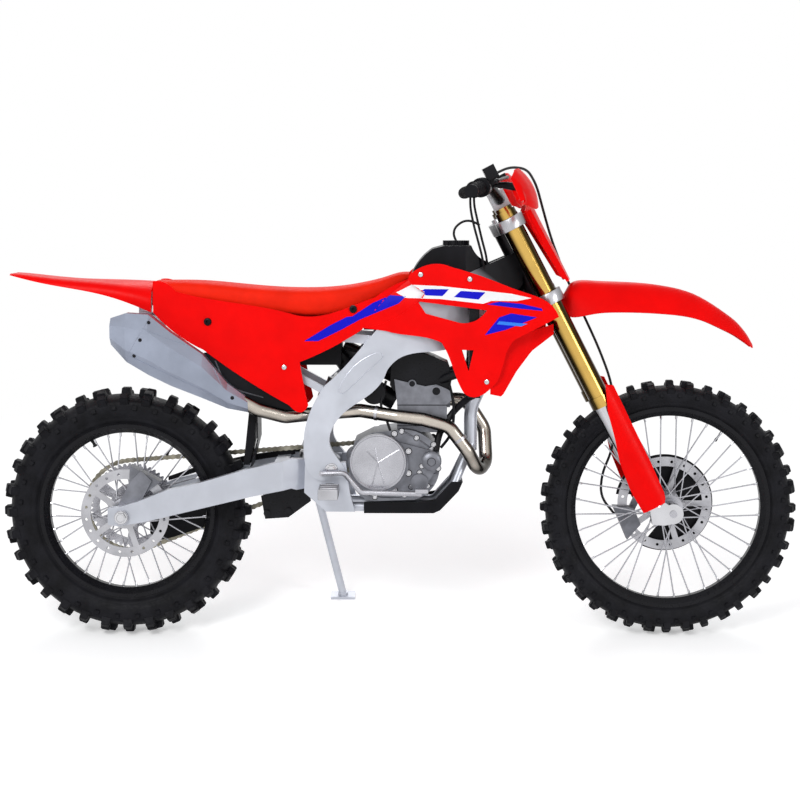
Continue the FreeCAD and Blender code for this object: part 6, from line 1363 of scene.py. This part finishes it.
def engine_hoses():
    """The cap's vent, coolant hoses, the intake, the wires and the throttle body."""
    bm = bmesh.new()
    for points, radius in HOSES:
        pipe(bm, smooth_line([Vector(p) for p in points], 8), radius, 16)
    lathe(bm, THROTTLE_BODY, aimed(Vector(THROTTLE_BODY_PLACE), (0.0, 1.0, 0.0)), 32)
    finish_piece("engine_hoses", bm, "chassis", hose_rubber())


# Controls

BAR_LINE = ((13.0, 165.0, 1006.0), (-39.0, 402.0, 1013.0))
CABLES = (((228.0, -262.0, 1216.0), (222.0, -210.0, 1236.0), (206.0, -130.0, 1218.0),
           (204.0, -84.0, 1176.0), (214.0, -70.0, 1127.0), (226.0, -64.0, 1078.0),
           (236.0, -62.0, 1040.0), (242.0, -58.0, 1004.0)),
          ((222.0, -262.0, 1212.0), (214.0, -212.0, 1226.0), (196.0, -134.0, 1208.0),
           (194.0, -90.0, 1168.0), (203.0, -76.0, 1120.0), (216.0, -70.0, 1072.0),
           (226.0, -68.0, 1034.0), (233.0, -64.0, 998.0)))
CABLE_RADIUS = 3.2
GRIP_START = 288.0
RIB_COUNT = 15
RIB_PITCH = 7.4
RIB_PROFILE = ((16.0, -1.6), (17.6, -1.0), (17.6, 1.0), (16.0, 1.6))


def throttle_cables():
    """The two throttle cables, from the bar down beside the steering head."""
    bm = bmesh.new()
    for points in CABLES:
        pipe(bm, smooth_line([Vector(p) for p in points], 10), CABLE_RADIUS, 10)
    piece = finish_piece("throttle_cables", bm, None, hose_rubber())
    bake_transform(piece)


def grip_ribs():
    """The ribs round the grips."""
    bm = bmesh.new()
    near, far = Vector(BAR_LINE[0]), Vector(BAR_LINE[1])
    for sign in (-1, 1):
        axis = fork_point(far.x, sign * far.y, far.z) - fork_point(near.x, sign * near.y, near.z)
        for i in range(RIB_COUNT):
            a = (GRIP_START + i * RIB_PITCH - near.y) / (far.y - near.y)
            p = near + (far - near) * a
            lathe(bm, RIB_PROFILE, aimed(fork_point(p.x, sign * p.y, p.z), axis), 24, closed=True)
    finish_piece("grip_ribs", bm, "steering", grip_rubber())


# Stage

FLOOR_LIFT = 0.34
FLOOR_NEAR = 0.9
FLOOR_FAR = 2.4
FLOOR_SIZE = 40.0
ROOM_LIGHT = 0.68
# Each lamp's name, place, aim, power and size
LAMPS = (("key", (-1.6, -3.4, 3.4), (0.0, 0.0, 0.6), 100.0, 1.6),
         ("fill", (3.2, -2.6, 1.8), (0.2, 0.0, 0.6), 38.0, 1.2),
         ("back", (0.0, 3.2, 3.2), (0.0, 0.0, 0.6), 65.0, 2.5))


def seen_rays(tree):
    """1 for the rays that show the background: straight, mirrored or through glass."""
    rays = tree.nodes.new("ShaderNodeLightPath")
    held = rays.outputs["Is Camera Ray"]
    for name in ("Is Glossy Ray", "Is Transmission Ray"):
        either = tree.nodes.new("ShaderNodeMath")
        either.operation = "MAXIMUM"
        link(tree, held, either.inputs[0])
        link(tree, rays.outputs[name], either.inputs[1])
        held = either.outputs["Value"]
    return held


def mixed(tree, factor, first, second):
    """A mix of two shaders by a factor."""
    node = tree.nodes.new("ShaderNodeMixShader")
    for source, socket in zip((factor, first, second), node.inputs):
        link(tree, source, socket)
    return node.outputs["Shader"]


def floor_material():
    """A pale floor that keeps the bike's shadow and runs out to white round it."""
    made = bpy.data.materials.new("studio_floor")
    made.use_nodes = True
    tree = made.node_tree
    shader = tree.nodes["Principled BSDF"]
    shader.inputs["Base Color"].default_value = (*colours().floor, 1.0)
    shader.inputs["Roughness"].default_value = 0.9
    shader.inputs["Specular IOR Level"].default_value = 0.1
    lift = tree.nodes.new("ShaderNodeEmission")
    lift.inputs["Strength"].default_value = FLOOR_LIFT
    both = tree.nodes.new("ShaderNodeAddShader")
    link(tree, shader.outputs["BSDF"], both.inputs[0])
    link(tree, lift.outputs["Emission"], both.inputs[1])
    white = tree.nodes.new("ShaderNodeEmission")
    place = tree.nodes.new("ShaderNodeTexCoord").outputs["Object"]
    fade = stretched(tree, vector_math(tree, "LENGTH", "Value", place), FLOOR_NEAR, FLOOR_FAR)
    away = mixed(tree, fade, both.outputs["Shader"], white.outputs["Emission"])
    shown = mixed(tree, seen_rays(tree), shader.outputs["BSDF"], away)
    link(tree, shown, tree.nodes["Material Output"].inputs["Surface"])
    return made


def studio_floor():
    """The floor, wide enough to reach past every view."""
    bm = bmesh.new()
    bmesh.ops.create_grid(bm, x_segments=1, y_segments=1, size=FLOOR_SIZE)
    mesh = bpy.data.meshes.new("studio_floor")
    bm.to_mesh(mesh)
    bm.free()
    mesh.materials.append(floor_material())
    floor = bpy.data.objects.new("studio_floor", mesh)
    bpy.context.scene.collection.objects.link(floor)


def studio_world():
    """White behind the bike, and a soft grey room that lights it."""
    world = bpy.data.worlds.new("studio")
    world.use_nodes = True
    tree = world.node_tree
    white = tree.nodes["Background"]
    white.inputs["Color"].default_value = (1.0, 1.0, 1.0, 1.0)
    white.inputs["Strength"].default_value = 1.0
    room = tree.nodes.new("ShaderNodeBackground")
    room.inputs["Color"].default_value = (0.62, 0.63, 0.65, 1.0)
    room.inputs["Strength"].default_value = ROOM_LIGHT
    shown = mixed(tree, seen_rays(tree), room.outputs["Background"], white.outputs["Background"])
    link(tree, shown, tree.nodes["World Output"].inputs["Surface"])
    bpy.context.scene.world = world


def lamp(name, place, aim, power, size):
    """A soft square lamp."""
    light = bpy.data.lights.new(name, "AREA")
    light.energy = power
    light.size = size
    made = bpy.data.objects.new(name, light)
    made.location = place
    made.rotation_mode = "QUATERNION"
    made.rotation_quaternion = (Vector(aim) - Vector(place)).to_track_quat("-Z", "Y")
    bpy.context.scene.collection.objects.link(made)


CAMERA_PLACE = (61.0, -5000.0, 1172.0)
CAMERA_AIM = (6.7, 0.0, 641.4)
CAMERA_LENS = 83.0


def studio_camera():
    camera = bpy.data.objects.new("camera", bpy.data.cameras.new("camera"))
    camera.data.lens = CAMERA_LENS
    camera.data.sensor_width = 36.0
    place = BIKE @ Vector(CAMERA_PLACE)
    back = (place - BIKE @ Vector(CAMERA_AIM)).normalized()
    right = UP.cross(back).normalized()
    up = back.cross(right)
    camera.matrix_world = (Matrix.Translation(place)
                           @ Matrix((right, up, back)).transposed().to_4x4())
    bpy.context.scene.collection.objects.link(camera)
    bpy.context.scene.camera = camera


# Operators

class BikeOperator:
    bl_options = {"REGISTER", "UNDO"}


class BIKE_OT_finishes(BikeOperator, bpy.types.Operator):
    """Give every carried-over solid its finish"""
    bl_idname = "bike.finishes"
    bl_label = "Finishes"

    def execute(self, context):
        slots = {material["slot"] for material in frame["record"]["materials"]}
        for name, node in frame["nodes"].items():
            held = node.data.materials[0].name.split(".")[0]
            if name in NODE_FINISHES:
                node.material_slots[0].material = NODE_FINISHES[name]()
            elif held in slots:
                node.material_slots[0].material = FINISHES[held]()
            else:
                raise RuntimeError("no finish for " + name)
            if name in ROUNDED_NODES:
                round_edges(node)
        return {"FINISHED"}


class BIKE_OT_tyres(BikeOperator, bpy.types.Operator):
    """Build the knobbly tyres"""
    bl_idname = "bike.tyres"
    bl_label = "Tyres"

    def execute(self, context):
        knobbly_tyre("front_tyre", "front_wheel", FRONT_AXLE, *FRONT_TREAD)
        knobbly_tyre("rear_tyre", "rear_wheel", REAR_AXLE, *REAR_TREAD)
        return {"FINISHED"}


class BIKE_OT_wheels(BikeOperator, bpy.types.Operator):
    """Add nipples, valves and rim locks"""
    bl_idname = "bike.wheels"
    bl_label = "Wheel fittings"

    def execute(self, context):
        spoke_nipples("front_nipples", "front_wheel", FRONT_AXLE, FRONT_SEAT)
        spoke_nipples("rear_nipples", "rear_wheel", REAR_AXLE, REAR_SEAT)
        valve_and_lock("front_valve", "front_wheel", FRONT_AXLE, FRONT_SEAT)
        valve_and_lock("rear_valve", "rear_wheel", REAR_AXLE, REAR_SEAT)
        return {"FINISHED"}


class BIKE_OT_chain(BikeOperator, bpy.types.Operator):
    """Build the chain from rollers and plates"""
    bl_idname = "bike.chain"
    bl_label = "Chain"

    def execute(self, context):
        chain_links()
        return {"FINISHED"}


class BIKE_OT_seat(BikeOperator, bpy.types.Operator):
    """Build the padded seat"""
    bl_idname = "bike.seat"
    bl_label = "Seat"

    def execute(self, context):
        seat_pad()
        return {"FINISHED"}


class BIKE_OT_panels(BikeOperator, bpy.types.Operator):
    """Add stripes and screws to the panels"""
    bl_idname = "bike.panels"
    bl_label = "Panel marks"

    def execute(self, context):
        panel_bridges()
        panel_marks()
        return {"FINISHED"}


class BIKE_OT_engine(BikeOperator, bpy.types.Operator):
    """Add the engine's lid, bolts, castings and hoses"""
    bl_idname = "bike.engine"
    bl_label = "Engine fittings"

    def execute(self, context):
        clutch_lid()
        engine_bolts()
        engine_castings()
        engine_hoses()
        return {"FINISHED"}


class BIKE_OT_guards(BikeOperator, bpy.types.Operator):
    """Build the fork's and hands' guards, the fender, the fins, grilles and skid walls"""
    bl_idname = "bike.guards"
    bl_label = "Guards"

    def execute(self, context):
        leg_guards()
        hand_guards()
        beak_fender()
        shroud_fins()
        radiator_louvres()
        skid_walls()
        side_plates()
        return {"FINISHED"}


class BIKE_OT_trim(BikeOperator, bpy.types.Operator):
    """Add the frame's relief and the silencer's creases and rivets"""
    bl_idname = "bike.trim"
    bl_label = "Frame and silencer trim"

    def execute(self, context):
        frame_relief()
        silencer_trim()
        return {"FINISHED"}


class BIKE_OT_controls(BikeOperator, bpy.types.Operator):
    """Add the throttle cables and the grips' ribs"""
    bl_idname = "bike.controls"
    bl_label = "Controls"

    def execute(self, context):
        throttle_cables()
        grip_ribs()
        return {"FINISHED"}


class BIKE_OT_stage(BikeOperator, bpy.types.Operator):
    """Set the floor, the lamps and the camera"""
    bl_idname = "bike.stage"
    bl_label = "Stage"

    def execute(self, context):
        studio_floor()
        studio_world()
        for settings in LAMPS:
            lamp(*settings)
        studio_camera()
        bpy.context.scene.view_settings.view_transform = "Standard"
        return {"FINISHED"}


OPERATORS = (BIKE_OT_finishes, BIKE_OT_tyres, BIKE_OT_wheels, BIKE_OT_chain, BIKE_OT_seat,
             BIKE_OT_panels, BIKE_OT_engine, BIKE_OT_guards, BIKE_OT_trim, BIKE_OT_controls,
             BIKE_OT_stage)


class BIKE_PT_panel(bpy.types.Panel):
    bl_label = "Motocross Bike"
    bl_idname = "BIKE_PT_panel"
    bl_space_type = "VIEW_3D"
    bl_region_type = "UI"
    bl_category = "Bike"

    def draw(self, context):
        for group in (context.scene.bike_colours, context.scene.bike_sizes):
            for name in group.__annotations__:
                self.layout.prop(group, name)
        for operator in OPERATORS:
            self.layout.operator(operator.bl_idname)


CLASSES = (BikeColours, BikeSizes, *OPERATORS, BIKE_PT_panel)


def register():
    for item in CLASSES:
        bpy.utils.register_class(item)
    bpy.types.Scene.bike_colours = PointerProperty(type=BikeColours)
    bpy.types.Scene.bike_sizes = PointerProperty(type=BikeSizes)


def unregister():
    del bpy.types.Scene.bike_sizes
    del bpy.types.Scene.bike_colours
    for item in reversed(CLASSES):
        bpy.utils.unregister_class(item)


def main():
    register()
    bpy.ops.bike.finishes()
    bpy.ops.bike.tyres()
    bpy.ops.bike.wheels()
    bpy.ops.bike.chain()
    bpy.ops.bike.seat()
    bpy.ops.bike.panels()
    bpy.ops.bike.engine()
    bpy.ops.bike.guards()
    bpy.ops.bike.trim()
    bpy.ops.bike.controls()
    bpy.ops.bike.stage()


if __name__ == "__main__":
    main()
